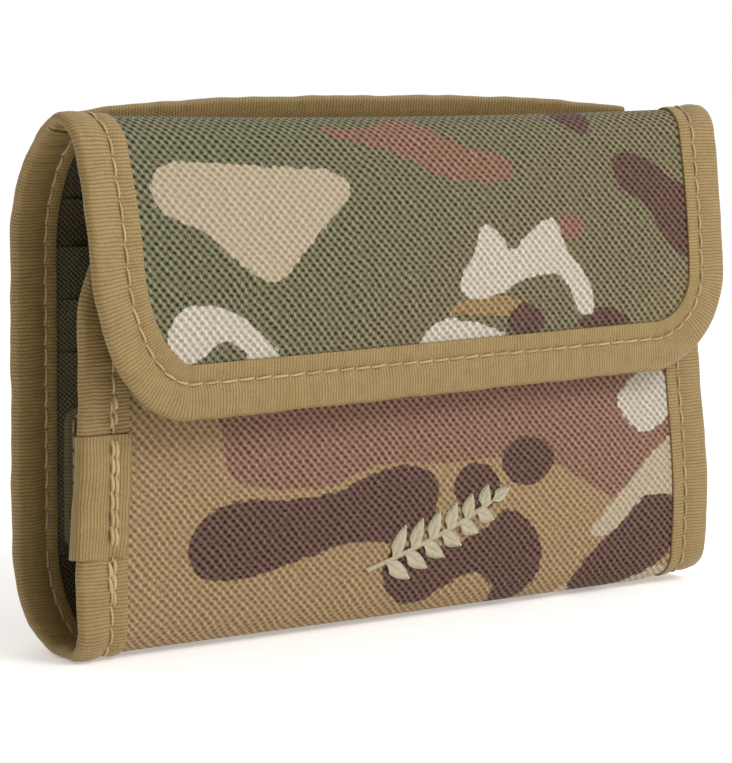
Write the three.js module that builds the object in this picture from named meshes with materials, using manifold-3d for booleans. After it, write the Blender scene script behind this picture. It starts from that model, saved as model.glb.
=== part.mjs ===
// A trifold wallet of bound oxford fabric, closed and standing on its bottom fold.
// Millimetres, +X to the wearer's right, -Y the front, +Z up; the origin is under the middle of the wallet.

import * as THREE from 'three';
import { mergeVertices } from 'three/addons/utils/BufferGeometryUtils.js';
import Module from 'manifold-3d';

const wasm = await Module();
wasm.setup();

// ---- Driving dimensions ----

const WIDTH = 141;
const HEIGHT = 92;
const TAPE_FACE = 9.4;          // width of binding tape that shows on each face
const CLEARANCE = 0.3;          // gap between neighbouring pieces

// Outer faces of the closed shell, as y
const BACK_Y = 8.2;
const FRONT_Y = -9.6;

// Rear top corner: a wide quarter ellipse from the back panel towards the front
const TOP_ARC_Y = 20.5;
const TOP_ARC_Z = 24;
// Rear bottom corner
const HEEL_ARC_Y = 7.5;
const HEEL_ARC_Z = 11;
// Front bottom corner
const TOE_ARC_Y = 4.5;
const TOE_ARC_Z = 5.5;
const FLOOR_GAP = 0.9;          // the shell rides this far above the ground, on its tape

// Front panel
const FRONT_LOW_Z = 7;
const FRONT_KINK_Z = 41;        // above this the panel leans back with the flap
const FRONT_HIGH_Z = 74;
const FRONT_LEAN = 0.15;       // mm back per mm up

// Flap
const FLAP_LOW_Z = 41.5;
const FLAP_HIGH_Z = 86.8;
const FLAP_LOW_Y = -13.3;       // outer face of the shell fabric at the flap's lower edge
const FLAP_SLOPE = 0.11;        // mm back per mm up
const FLAP_CORNER = 19;

// Layers, as depths from the shell's outer face towards the inside of the wallet
const SHELL = [0, 0.9];
const LINING = [1.7, 2.3];
const FRONT_LINING = [1.2, 1.8];
const COIN_WALL = [3.2, 3.8];
const FLAP_LINING = [1.2, 1.8];
const BACK_BINDING = { outer: -0.9, inner: 3.2 };
const FRONT_BINDING = { outer: -0.9, inner: 2.7 };
const FLAP_BINDING = { outer: -0.8, inner: 2.5 };
const BINDING_WALL = 0.6;
const EDGE_REACH = 1.2;         // how far inside the tape's outer edge the panels end

// Card slots, from the divider outwards: [depth from the shell, top edge]
const CARD_SLOTS = [
  { depth: 2.6, top: 68 },
  { depth: 3.4, top: 59 },
  { depth: 4.2, top: 50 },
];
const SLOT_CLOTH = 0.5;
const SLOT_LOW_Z = 15;
const WINDOW_DEPTH = 5.0;
const WINDOW_TOP = 41;
const WINDOW_BORDER = 6;
const FILM = 0.3;

// Back slip pocket: a shallow tray that stands off the back panel
const POCKET_LOW_Z = 14;
const POCKET_TOP_Z = 82;
const POCKET_MOUTH_Z = 91.5;
const POCKET_ROOM = 4.4;
const POCKET_CLOTH = 0.9;
const POCKET_MOUTH_TAPE = 1.6;
const POCKET_FLAT = 96;
const POCKET_FOOT = 118;

// Closure
const PATCH_LENGTH = 72;
const LOOP_PATCH = { low: 46, high: 62, thickness: 0.5 };
const HOOK_PATCH = { width: 12, thickness: 0.6 };

// Zip of the coin pocket
const ZIP_Z = 19;
const ZIP_LENGTH = 104;
const ZIP_TAPE = 5.5;
const TOOTH_ROW = 1.3;
const TOOTH_GAP = 1.0;
const TOOTH_THICK = 1.2;
const ZIP_STOP = 2;
const SLIDER = { length: 8.5, width: 5.6, plate: 0.45, web: 0.35 };
const PULL = { length: 12, width: 4.2, thickness: 0.6 };

// Join cover over the front panel's left binding
const COVER = { low: 16.5, high: 37.5, wall: 0.5 };

// Embroidered sprig
const SPRIG = { x: 4.5, z: 15.6, length: 32, width: 12, thickness: 0.5 };

// ---- Materials ----

function cloth(colour, roughness = 0.9) {
  return new THREE.MeshStandardMaterial({ color: colour, roughness, metalness: 0 });
}

const CAMO = cloth(0x8d8562);
const TAPE = cloth(0xa0865a, 0.85);
const DARK_LINING = cloth(0x3a4030);
const SLOT_FABRIC = cloth(0x4a4c38);
const HOOK = cloth(0x6b5c3c);
const LOOP = cloth(0x7c6b48);
const THREAD = cloth(0xc9bd97, 0.6);
const ZIP_FABRIC = cloth(0x6f6040);
const TEETH = cloth(0x4b3f2c, 0.5);
const CLEAR = cloth(0xdfe6e6, 0.15);
CLEAR.transparent = true;
CLEAR.opacity = 0.35;
const METAL = new THREE.MeshStandardMaterial({ color: 0x6d6652, roughness: 0.4, metalness: 0.9 });

// ---- Solid helpers ----

function toManifold(geometry) {
  const bare = geometry.clone();
  bare.deleteAttribute('normal');
  bare.deleteAttribute('uv');
  const merged = mergeVertices(bare, 1e-4);
  return new wasm.Manifold(new wasm.Mesh({
    numProp: 3,
    vertProperties: new Float32Array(merged.attributes.position.array),
    triVerts: new Uint32Array(merged.index.array),
  }));
}

function fromManifold(solid) {
  const mesh = solid.getMesh();
  const geometry = new THREE.BufferGeometry();
  geometry.setAttribute('position', new THREE.BufferAttribute(new Float32Array(mesh.vertProperties), 3));
  geometry.setIndex(new THREE.BufferAttribute(new Uint32Array(mesh.triVerts), 1));
  geometry.computeVertexNormals();
  return geometry;
}

function cut(geometry, ...tools) {
  const solid = tools.reduce((left, tool) => left.subtract(toManifold(tool)), toManifold(geometry));
  return fromManifold(solid);
}

function unite(...pieces) {
  const solid = pieces.slice(1).reduce((sum, piece) => sum.add(toManifold(piece)), toManifold(pieces[0]));
  return fromManifold(solid);
}

function box(x0, x1, y0, y1, z0, z1) {
  const geometry = new THREE.BoxGeometry(x1 - x0, y1 - y0, z1 - z0);
  return geometry.translate((x0 + x1) / 2, (y0 + y1) / 2, (z0 + z1) / 2);
}

// The wallet's profile runs front top, down, along the bottom, up the back and over to the flap.
// A depth is measured to the left of that run, which is towards the inside.
function offsetPath(path, depth) {
  return path.map((point, i) => {
    const before = path[Math.max(i - 1, 0)];
    const after = path[Math.min(i + 1, path.length - 1)];
    const incoming = i > 0 ? point.clone().sub(before).normalize() : after.clone().sub(point).normalize();
    const outgoing = i < path.length - 1 ? after.clone().sub(point).normalize() : incoming;
    const normalIn = new THREE.Vector2(-incoming.y, incoming.x);
    const normalOut = new THREE.Vector2(-outgoing.y, outgoing.x);
    const mitre = normalIn.clone().add(normalOut).normalize();
    return point.clone().addScaledVector(mitre, depth / mitre.dot(normalIn));
  });
}

// A band of cloth that follows a (y, z) path between two depths, from x0 to x1
function band(path, depths, x0, x1) {
  const outer = offsetPath(path, depths[0]);
  const inner = offsetPath(path, depths[1]).reverse();
  const outline = new THREE.Shape([...outer, ...inner]);
  const geometry = new THREE.ExtrudeGeometry(outline, { depth: x1 - x0, bevelEnabled: false });
  const turn = new THREE.Matrix4().makeBasis(
    new THREE.Vector3(0, 1, 0), new THREE.Vector3(0, 0, 1), new THREE.Vector3(1, 0, 0));
  return geometry.applyMatrix4(turn).translate(x0, 0, 0);
}

// The same path, run on past both ends, so that a cut made with it leaves no skin
function lengthened(path, by) {
  const first = path[0].clone().add(path[0].clone().sub(path[1]).setLength(by));
  const last = path[path.length - 1];
  const end = last.clone().add(last.clone().sub(path[path.length - 2]).setLength(by));
  return [first, ...path, end];
}

// Folded tape over a side edge: a band with a slot for the panels, open towards the middle of the wallet
function sideBinding(path, binding, side) {
  const outerX = WIDTH / 2;
  const innerX = outerX - TAPE_FACE;
  const slotX = outerX - EDGE_REACH + CLEARANCE;
  const slot = [binding.outer + BINDING_WALL, binding.inner - BINDING_WALL];
  const [x0, x1] = side < 0 ? [-outerX, -innerX] : [innerX, outerX];
  const [slot0, slot1] = side < 0 ? [-slotX, -innerX + 1] : [innerX - 1, slotX];
  const whole = band(path, [binding.outer, binding.inner], x0, x1);
  return cut(whole, band(lengthened(path, 2), slot, slot0, slot1));
}

function point(y, z) {
  return new THREE.Vector2(y, z);
}

// Points along a quarter ellipse, from angle a to angle b in degrees
function arc(centreY, centreZ, radiusY, radiusZ, a, b, steps) {
  return Array.from({ length: steps + 1 }, (_, i) => {
    const angle = THREE.MathUtils.degToRad(a + (b - a) * i / steps);
    return point(centreY + radiusY * Math.cos(angle), centreZ + radiusZ * Math.sin(angle));
  });
}

// ---- Profile of the shell's outer face ----

const PANEL_X = WIDTH / 2 - EDGE_REACH;
const OPEN_X = WIDTH / 2 - TAPE_FACE - CLEARANCE;
const HEEL_CENTRE = point(BACK_Y - HEEL_ARC_Y, FLOOR_GAP + HEEL_ARC_Z);
const TOE_CENTRE = point(FRONT_Y + TOE_ARC_Y, FLOOR_GAP + TOE_ARC_Z);
const TOP_CENTRE = point(BACK_Y - TOP_ARC_Y, HEIGHT - TOP_ARC_Z);

const backPath = [
  ...arc(HEEL_CENTRE.x, HEEL_CENTRE.y, HEEL_ARC_Y, HEEL_ARC_Z, -28, 0, 2),
  ...arc(TOP_CENTRE.x, TOP_CENTRE.y, TOP_ARC_Y, TOP_ARC_Z, 0, 40, 4),
];
const backFlatPath = [point(BACK_Y, HEEL_CENTRE.y), point(BACK_Y, TOP_CENTRE.y)];
const topSpinePath = arc(TOP_CENTRE.x, TOP_CENTRE.y, TOP_ARC_Y, TOP_ARC_Z, 54, 75, 3);
const bottomSpinePath = [
  ...arc(TOE_CENTRE.x, TOE_CENTRE.y, TOE_ARC_Y, TOE_ARC_Z, 225, 270, 2),
  ...arc(HEEL_CENTRE.x, HEEL_CENTRE.y, HEEL_ARC_Y, HEEL_ARC_Z, 270, 306, 2),
];

function frontY(z) {
  return FRONT_Y + Math.max(0, z - FRONT_KINK_Z) * FRONT_LEAN;
}

function frontPath(low, high) {
  const heights = [high, FRONT_KINK_Z, low].filter((z) => z <= high && z >= low);
  return [...new Set(heights)].map((z) => point(frontY(z), z));
}

const wallet = new THREE.Group();

function add(name, geometry, material, parent = wallet) {
  const mesh = new THREE.Mesh(geometry, material);
  mesh.name = name;
  parent.add(mesh);
  return mesh;
}

// ---- Back panel ----

function backLayer(depth, low, high) {
  return band([point(BACK_Y, low), point(BACK_Y, high)], [depth, depth + SLOT_CLOTH], -OPEN_X, OPEN_X);
}

add('back_shell', band(backPath, SHELL, -PANEL_X, PANEL_X), CAMO);
add('note_divider', band(backFlatPath, LINING, -PANEL_X, PANEL_X), DARK_LINING);
add('back_binding_left', sideBinding(backPath, BACK_BINDING, -1), TAPE);
add('back_binding_right', sideBinding(backPath, BACK_BINDING, 1), TAPE);

CARD_SLOTS.forEach((slot, i) => {
  const geometry = backLayer(slot.depth, SLOT_LOW_Z, slot.top);
  add(`card_slot_${i + 1}`, geometry, SLOT_FABRIC);
});

const windowFrame = cut(
  backLayer(WINDOW_DEPTH, SLOT_LOW_Z, WINDOW_TOP),
  box(-OPEN_X + WINDOW_BORDER, OPEN_X - WINDOW_BORDER, -3, BACK_Y,
    SLOT_LOW_Z + WINDOW_BORDER / 2, WINDOW_TOP - WINDOW_BORDER));
add('window_frame', windowFrame, SLOT_FABRIC);
add('window_film', box(
  -OPEN_X + WINDOW_BORDER + CLEARANCE, OPEN_X - WINDOW_BORDER - CLEARANCE,
  BACK_Y - WINDOW_DEPTH - FILM, BACK_Y - WINDOW_DEPTH,
  SLOT_LOW_Z + WINDOW_BORDER / 2 + CLEARANCE, WINDOW_TOP - WINDOW_BORDER - CLEARANCE), CLEAR);

// A tray open at the top and towards the back panel; its cross-section is a trapezoid.
// A floor below zero leaves the bottom open too.
function tray(low, high, thickness, floor) {
  const nearY = BACK_Y + CLEARANCE;
  const farY = BACK_Y + POCKET_ROOM;
  const section = (grow, y0, y1, z0, z1) => {
    const shape = new THREE.Shape([
      point(-POCKET_FOOT / 2 - grow, y0), point(POCKET_FOOT / 2 + grow, y0),
      point(POCKET_FLAT / 2 + grow, y1), point(-POCKET_FLAT / 2 - grow, y1),
    ]);
    return new THREE.ExtrudeGeometry(shape, { depth: z1 - z0, bevelEnabled: false }).translate(0, 0, z0);
  };
  const outer = section(0, nearY, farY + thickness, low, high);
  const inner = section(-thickness * 1.2, nearY - 1, farY, low + floor, high + 1);
  return cut(outer, inner);
}

const mouthLow = POCKET_TOP_Z + CLEARANCE;
add('back_pocket', tray(POCKET_LOW_Z, POCKET_TOP_Z, POCKET_CLOTH, POCKET_CLOTH), CAMO);
add('back_pocket_binding', tray(mouthLow, POCKET_MOUTH_Z, POCKET_MOUTH_TAPE, -1), TAPE);

// ---- Top spine ----

add('top_spine_shell', band(topSpinePath, SHELL, -PANEL_X, PANEL_X), CAMO);
add('top_spine_lining', band(topSpinePath, FRONT_LINING, -PANEL_X, PANEL_X), DARK_LINING);
add('top_spine_binding_left', sideBinding(topSpinePath, FLAP_BINDING, -1), TAPE);
add('top_spine_binding_right', sideBinding(topSpinePath, FLAP_BINDING, 1), TAPE);

// ---- Bottom spine ----

add('bottom_spine_shell', band(bottomSpinePath, SHELL, -PANEL_X, PANEL_X), CAMO);
add('bottom_spine_lining', band(bottomSpinePath, FRONT_LINING, -PANEL_X, PANEL_X), DARK_LINING);
add('bottom_spine_binding_left', sideBinding(bottomSpinePath, FRONT_BINDING, -1), TAPE);
add('bottom_spine_binding_right', sideBinding(bottomSpinePath, FRONT_BINDING, 1), TAPE);

// ---- Front panel and its coin pocket ----

const frontTop = FRONT_HIGH_Z;
const frontClothTop = frontTop - EDGE_REACH;
const frontSidePath = frontPath(FRONT_LOW_Z, frontTop);
const frontClothPath = frontPath(FRONT_LOW_Z, frontClothTop);
const tapeLow = frontTop - TAPE_FACE;

add('front_shell', band(frontClothPath, SHELL, -PANEL_X, PANEL_X), CAMO);
add('front_lining', band(frontClothPath, FRONT_LINING, -PANEL_X, PANEL_X), DARK_LINING);
add('front_binding_left', sideBinding(frontSidePath, FRONT_BINDING, -1), TAPE);
add('front_binding_right', sideBinding(frontSidePath, FRONT_BINDING, 1), TAPE);

function frontTopBinding() {
  const path = frontPath(tapeLow, frontTop);
  const slot = [FRONT_BINDING.outer + BINDING_WALL, FRONT_BINDING.inner - BINDING_WALL];
  const whole = band(path, [FRONT_BINDING.outer, FRONT_BINDING.inner], -OPEN_X, OPEN_X);
  const core = band(frontPath(tapeLow - 2, frontClothTop + CLEARANCE), slot, -OPEN_X - 1, OPEN_X + 1);
  return cut(whole, core);
}

add('front_binding_top', frontTopBinding(), TAPE);

const zipEdge = TOOTH_GAP / 2 + TOOTH_ROW + CLEARANCE;
const wallTop = tapeLow - CLEARANCE;
const zipTapeFar = zipEdge + ZIP_TAPE;

function coinWall(low, high) {
  return band(frontPath(low, high), COIN_WALL, -OPEN_X, OPEN_X);
}

add('coin_pocket_upper', coinWall(ZIP_Z + zipTapeFar + CLEARANCE, wallTop), SLOT_FABRIC);
add('coin_pocket_lower', coinWall(FRONT_LOW_Z, ZIP_Z - zipTapeFar - CLEARANCE), SLOT_FABRIC);
add('zip_tape_upper', coinWall(ZIP_Z + zipEdge, ZIP_Z + zipTapeFar), ZIP_FABRIC);
add('zip_tape_lower', coinWall(ZIP_Z - zipTapeFar, ZIP_Z - zipEdge), ZIP_FABRIC);

const wallMid = FRONT_Y + (COIN_WALL[0] + COIN_WALL[1]) / 2;
const toothNear = wallMid - TOOTH_THICK / 2;
const toothFar = wallMid + TOOTH_THICK / 2;
const zipHalf = ZIP_LENGTH / 2;
add('zip_teeth_upper', box(-zipHalf, zipHalf, toothNear, toothFar,
  ZIP_Z + TOOTH_GAP / 2, ZIP_Z + TOOTH_GAP / 2 + TOOTH_ROW), TEETH);
add('zip_teeth_lower', box(-zipHalf, zipHalf, toothNear, toothFar,
  ZIP_Z - TOOTH_GAP / 2 - TOOTH_ROW, ZIP_Z - TOOTH_GAP / 2), TEETH);

function zipStop(x) {
  const halfWidth = zipEdge - CLEARANCE;
  return box(x - ZIP_STOP / 2, x + ZIP_STOP / 2, toothNear, toothFar, ZIP_Z - halfWidth, ZIP_Z + halfWidth);
}

const stopX = zipHalf + CLEARANCE + ZIP_STOP / 2;
add('zip_stop_left', zipStop(-stopX), METAL);
add('zip_stop_right', zipStop(stopX), METAL);

function zipSlider() {
  const x0 = -zipHalf + 0.5;
  const x1 = x0 + SLIDER.length;
  const low = ZIP_Z - SLIDER.width / 2;
  const high = ZIP_Z + SLIDER.width / 2;
  const inner = toothNear - CLEARANCE;
  const outer = toothFar + CLEARANCE;
  return unite(
    box(x0, x1, inner - SLIDER.plate, inner, low, high),
    box(x0, x1, outer, outer + SLIDER.plate, low, high),
    box(x0, x1, inner - SLIDER.plate / 2, outer + SLIDER.plate / 2,
      ZIP_Z - SLIDER.web / 2, ZIP_Z + SLIDER.web / 2));
}

add('zip_slider', zipSlider(), METAL);

function zipPull() {
  const y0 = toothFar + CLEARANCE + SLIDER.plate + CLEARANCE;
  const x0 = -zipHalf + 2;
  const outline = new THREE.Shape();
  const half = PULL.width / 2;
  outline.moveTo(x0, -half * 0.6);
  outline.lineTo(x0 + PULL.length - half, -half);
  outline.absarc(x0 + PULL.length - half, 0, half, -Math.PI / 2, Math.PI / 2, false);
  outline.lineTo(x0, half * 0.6);
  const settings = { depth: PULL.thickness, bevelEnabled: false, curveSegments: 5 };
  const geometry = new THREE.ExtrudeGeometry(outline, settings);
  return geometry.rotateX(Math.PI / 2).translate(0, y0 + PULL.thickness, ZIP_Z);
}

add('zip_pull', zipPull(), METAL);

function joinCover() {
  const path = frontPath(COVER.low, COVER.high);
  const outer = FRONT_BINDING.outer - CLEARANCE - COVER.wall;
  const inner = FRONT_BINDING.inner + CLEARANCE + COVER.wall;
  const edge = WIDTH / 2 + CLEARANCE + COVER.wall;
  const whole = band(path, [outer, inner], -edge, -OPEN_X);
  const room = [outer + COVER.wall, inner - COVER.wall];
  const core = band(lengthened(path, 2), room, -edge + COVER.wall, -OPEN_X + 1);
  return cut(whole, core);
}

add('binding_join_cover', joinCover(), TAPE);

const loopPath = frontPath(LOOP_PATCH.low, LOOP_PATCH.high);
add('loop_patch', band(loopPath, [-CLEARANCE - LOOP_PATCH.thickness, -CLEARANCE],
  -PATCH_LENGTH / 2, PATCH_LENGTH / 2), LOOP);

function sprig() {
  const outline = new THREE.Shape();
  const half = SPRIG.length / 2;
  outline.moveTo(-half, 0);
  outline.quadraticCurveTo(0, SPRIG.width, half, 0);
  outline.quadraticCurveTo(0, -SPRIG.width, -half, 0);
  const settings = { depth: SPRIG.thickness, bevelEnabled: false, curveSegments: 6 };
  const geometry = new THREE.ExtrudeGeometry(outline, settings);
  geometry.rotateX(Math.PI / 2).rotateY(-0.25);
  return geometry.translate(SPRIG.x, FRONT_Y - CLEARANCE, SPRIG.z);
}

add('embroidered_sprig', sprig(), THREAD);

// ---- Flap ----
// Its own group: local X across, local Y up the flap from its lower edge, local Z out of the front.

const flap = new THREE.Group();
const flapLength = (FLAP_HIGH_Z - FLAP_LOW_Z) * Math.hypot(1, FLAP_SLOPE);
flap.position.set(0, FLAP_LOW_Y, FLAP_LOW_Z);
flap.rotation.x = Math.PI / 2 - Math.atan(FLAP_SLOPE);
wallet.add(flap);

function flapOutline(inset, top) {
  const half = WIDTH / 2 - inset;
  const radius = FLAP_CORNER - inset;
  const outline = new THREE.Shape();
  outline.moveTo(-half, top);
  outline.lineTo(-half, inset + radius);
  outline.absarc(-half + radius, inset + radius, radius, Math.PI, 1.5 * Math.PI, false);
  outline.lineTo(half - radius, inset);
  outline.absarc(half - radius, inset + radius, radius, 1.5 * Math.PI, 2 * Math.PI, false);
  outline.lineTo(half, top);
  return outline;
}

function flapSheet(inset, depths, top = flapLength) {
  const settings = { depth: depths[1] - depths[0], bevelEnabled: false, curveSegments: 8 };
  return new THREE.ExtrudeGeometry(flapOutline(inset, top), settings).translate(0, 0, -depths[1]);
}

function flapBinding() {
  const { outer, inner } = FLAP_BINDING;
  const whole = flapSheet(0, [outer, inner]);
  const middle = flapSheet(TAPE_FACE, [outer - 1, inner + 1], flapLength + 1);
  const room = [outer + BINDING_WALL, inner - BINDING_WALL];
  const slot = flapSheet(EDGE_REACH - CLEARANCE, room, flapLength + 1);
  return cut(whole, middle, slot);
}

add('flap_shell', flapSheet(EDGE_REACH, SHELL), CAMO, flap);
add('flap_lining', flapSheet(EDGE_REACH, FLAP_LINING), DARK_LINING, flap);
add('flap_binding', flapBinding(), TAPE, flap);

const hookNear = FLAP_LINING[1] + CLEARANCE;
const hookLow = TAPE_FACE + CLEARANCE;
add('hook_patch', box(-PATCH_LENGTH / 2, PATCH_LENGTH / 2, hookLow, hookLow + HOOK_PATCH.width,
  -hookNear - HOOK_PATCH.thickness, -hookNear), HOOK, flap);

export default wallet;
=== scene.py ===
import math

import bpy
import numpy as np
from mathutils import Matrix, Vector


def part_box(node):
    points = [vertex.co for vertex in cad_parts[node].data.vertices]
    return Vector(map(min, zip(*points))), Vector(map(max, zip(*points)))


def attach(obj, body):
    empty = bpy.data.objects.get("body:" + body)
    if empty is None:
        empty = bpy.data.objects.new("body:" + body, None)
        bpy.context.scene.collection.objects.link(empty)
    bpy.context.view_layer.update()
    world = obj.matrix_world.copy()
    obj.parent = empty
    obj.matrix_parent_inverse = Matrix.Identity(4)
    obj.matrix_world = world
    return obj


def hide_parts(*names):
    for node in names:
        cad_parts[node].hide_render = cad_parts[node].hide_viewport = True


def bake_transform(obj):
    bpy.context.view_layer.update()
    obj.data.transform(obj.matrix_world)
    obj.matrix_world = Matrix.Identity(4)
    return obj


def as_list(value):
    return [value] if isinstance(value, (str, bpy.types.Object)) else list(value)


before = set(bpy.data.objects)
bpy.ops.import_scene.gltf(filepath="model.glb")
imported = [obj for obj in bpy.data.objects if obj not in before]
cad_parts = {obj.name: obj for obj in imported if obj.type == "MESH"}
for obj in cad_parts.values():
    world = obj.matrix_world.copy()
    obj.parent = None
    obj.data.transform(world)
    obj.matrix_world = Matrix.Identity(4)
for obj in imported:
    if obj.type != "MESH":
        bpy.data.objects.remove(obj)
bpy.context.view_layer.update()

# A trifold wallet of bound camouflage oxford. Lengths are millimetres, and meshes are made in metres.
# Its cloth follows one profile: s runs down the front, under, up the back, over and down the flap.
# A point of it is (u, s, h): u across the wallet, s along the profile, h out of the shell's outer face.

MM = 0.001


def span(*nodes):
    """Lowest and highest corners, in millimetres, of some CAD nodes."""
    boxes = [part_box(node) for node in nodes]
    low = np.min([list(b[0]) for b in boxes], axis=0) / MM
    high = np.max([list(b[1]) for b in boxes], axis=0) / MM
    return low, high


# ---- Driving dimensions ----

HALF = float(span("flap_binding")[1][0])
BACK_SLACK = 3.2        # how far the soft back stands out behind the plain solid
BACK_Y = float(span("back_shell")[1][1]) + BACK_SLACK
FRONT_Y = float(span("front_shell")[0][1])
FLOOR_GAP = float(span("bottom_spine_shell")[0][2]) - 0.15
FRONT_TOP_Z = float(span("front_binding_left")[1][2])
FLAP_LOW_Z = float(span("flap_binding")[0][2])

TAPE_WALL = 0.38
TAPE_STEP = 0.6         # between the mesh's stations along a tape
RIB_PITCH = 0.62
YARN_PITCH = 0.82
SEAM = 6.2              # the stitch line's distance from the tape's outer edge
STITCH_PITCH = 3.5
THREAD_RADIUS = 0.23
THREAD_LIFT = 0.3       # of a seam thread over the cloth
CLOTH = 0.7
LINING = 0.4
CORE_FRONT = 1.25       # cloth, lining and the gap between them
CORE_BACK = 1.4
EDGE_REACH = 1.2
INNER_HALF = HALF - 7.9   # half width of what is sewn in under the inner tape

TOP_ARC = (20.5 + BACK_SLACK, 24.4)
HEEL_ARC = (9.5 + BACK_SLACK, 17.5)
TOE_ARC = (4.5, 5.5)
TOP_CENTRE = (BACK_Y - TOP_ARC[0], 68.0)
HEEL_CENTRE = (BACK_Y - HEEL_ARC[0], FLOOR_GAP + HEEL_ARC[1])
TOE_CENTRE = (FRONT_Y + TOE_ARC[0], FLOOR_GAP + TOE_ARC[1])
FRONT_KINK_Z = 16.0
FRONT_LEAN = 0.06
FOLD_ANGLE = 68.0       # where the top arc ends and the flap's fold starts
FLAP_TOP = (-9.6, 86.4)
FLAP_LOW_Y = -13.3
FLAP_BULGE = 1.5
FLAP_CORNER = {-1: (19.0, 27.0), 1: (18.0, 18.0)}      # across and along, on each side
FRONT_CORNER = {-1: (14.0, 20.0), 1: (14.0, 20.0)}
FLAP_TILT = 1.1         # the closed flap's right end is this much higher than its middle

FRONT_CROWN = 1.0
FLAP_CROWN = 0.9
BACK_CROWN = 0.6
FLAP_LIFT = 1.1         # how far the closed flap is pushed out by what is under it
FLAP_TWIST = 0.022      # more on its left than on its right, per mm
BOTTOM_PINCH = 1.6
BOTTOM_LIFT = 2.2       # how far the bottom's right end curls up
LOWER_SPREAD = 0.9      # how far the front's lower right side stands out
FOLD_SAG = 1.0          # how far the top fold sags between its ends
NARROWING = 0.8         # the front and flap are this much narrower than the back, each side
FRONT_TAPER = 2.0       # more at the top of the front panel

# ---- Profile ----


def ellipse(centre, radii, start, end, steps=60):
    angle = np.radians(np.linspace(start, end, steps))
    return np.column_stack([centre[0] + radii[0] * np.cos(angle), centre[1] + radii[1] * np.sin(angle)])


def bezier(a, b, c, d, steps=60):
    t = np.linspace(0, 1, steps)[:, None]
    return (1 - t) ** 3 * a + 3 * (1 - t) ** 2 * t * b + 3 * (1 - t) * t**2 * c + t**3 * d


def front_line():
    """The front panel from its top edge down: it leans back above a soft kink."""
    z = np.linspace(FRONT_TOP_Z, TOE_CENTRE[1], 140)
    soft = 3.0 * np.logaddexp(0, (z - FRONT_KINK_Z) / 3.0)
    return np.column_stack([FRONT_Y + FRONT_LEAN * soft, z])


def flap_line():
    """The closed flap from its fold to its lower edge, bulged a little."""
    t = np.linspace(0, 1, 100)
    y = FLAP_TOP[0] + (FLAP_LOW_Y - FLAP_TOP[0]) * t - FLAP_BULGE * np.sin(np.pi * t)
    return np.column_stack([y, FLAP_TOP[1] + (FLAP_LOW_Z - FLAP_TOP[1]) * t])


def fold_line(arc_end, arc_direction, flap_start, flap_direction):
    handle = 2.6
    return bezier(arc_end, arc_end + handle * arc_direction, flap_start - handle * flap_direction, flap_start)


def lengths(points):
    """The length along a line of (x, y) points, from its start to each of them."""
    return np.concatenate([[0], np.cumsum(np.hypot(*np.diff(points, axis=0).T))])


def direction(points, end):
    step = points[1] - points[0] if end == 0 else points[-1] - points[-2]
    return step / np.hypot(*step)


def build_profile():
    """The whole profile as lengths s and the points (y, z) there, every tenth of a millimetre."""
    top_arc = ellipse(TOP_CENTRE, TOP_ARC, 0, FOLD_ANGLE)
    flap = flap_line()
    fold = fold_line(top_arc[-1], direction(top_arc, 1), flap[0], direction(flap, 0))
    runs = [
        front_line(),
        ellipse(TOE_CENTRE, TOE_ARC, 180, 270),
        ellipse(HEEL_CENTRE, HEEL_ARC, 270, 360),
        top_arc,
        fold,
        flap,
    ]
    line = np.vstack(runs)
    steps = np.hypot(*np.diff(line, axis=0).T)
    keep = np.concatenate([[True], steps > 1e-6])
    line = line[keep]
    length = lengths(line)
    s = np.arange(0, length[-1], 0.1)
    y = np.interp(s, length, line[:, 0])
    z = np.interp(s, length, line[:, 1])
    return s, y, z


def smoothed(values, sigma):
    """Values averaged with a Gaussian of sigma samples."""
    reach = int(4 * sigma)
    kernel = np.exp(-0.5 * (np.arange(-reach, reach + 1) / sigma) ** 2)
    padded = np.pad(values, reach, mode="edge")
    return np.convolve(padded, kernel / kernel.sum(), mode="valid")


PATH_S, PATH_Y, PATH_Z = build_profile()
TURN = smoothed(np.unwrap(np.arctan2(np.gradient(PATH_Z), np.gradient(PATH_Y))), 7)
BEND = np.gradient(TURN, PATH_S)


def station(y=None, z=None, after=0.0, before=1e9):
    """The s where the profile passes a height, or a depth, in a stretch of it."""
    inside = (PATH_S >= after) & (PATH_S <= before)
    gap = np.abs(PATH_Y - y) if z is None else np.abs(PATH_Z - z)
    return float(PATH_S[inside][np.argmin(gap[inside])])


S_END = float(PATH_S[-1])
S_TOE = station(z=TOE_CENTRE[1], before=80)
S_BOTTOM = station(y=-2.2, after=S_TOE, before=S_TOE + 20)
S_BACK = station(z=17, after=S_BOTTOM, before=S_BOTTOM + 60)
S_ARC = station(z=TOP_CENTRE[1], after=S_BACK, before=S_BACK + 60)
SPINE_ANGLE = math.radians(63)       # how far round the top arc the top spine starts
S_SPINE = station(y=TOP_CENTRE[0] + TOP_ARC[0] * math.cos(SPINE_ANGLE), after=S_ARC, before=S_ARC + 40)
S_FOLD = float(PATH_S[np.argmax(np.where(PATH_S > S_SPINE, BEND, 0))])


def front_s(z):
    return station(z=z, before=S_TOE + 1)


def back_s(z):
    return station(z=z, after=S_BOTTOM, before=S_ARC)


def flap_s(z):
    return station(z=z, after=S_FOLD + 1)


def bell(x, width):
    return np.exp(-((x / width) ** 2))


def ease(x):
    t = np.clip(x, 0, 1)
    return t * t * (3 - 2 * t)


def core(s):
    """Thickness of the cloth and lining that the tape is folded over."""
    back = ease((s - S_BOTTOM - 4) / 14) * ease((S_SPINE - 4 - s) / 22)
    return CORE_FRONT + (CORE_BACK - CORE_FRONT) * back


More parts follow.
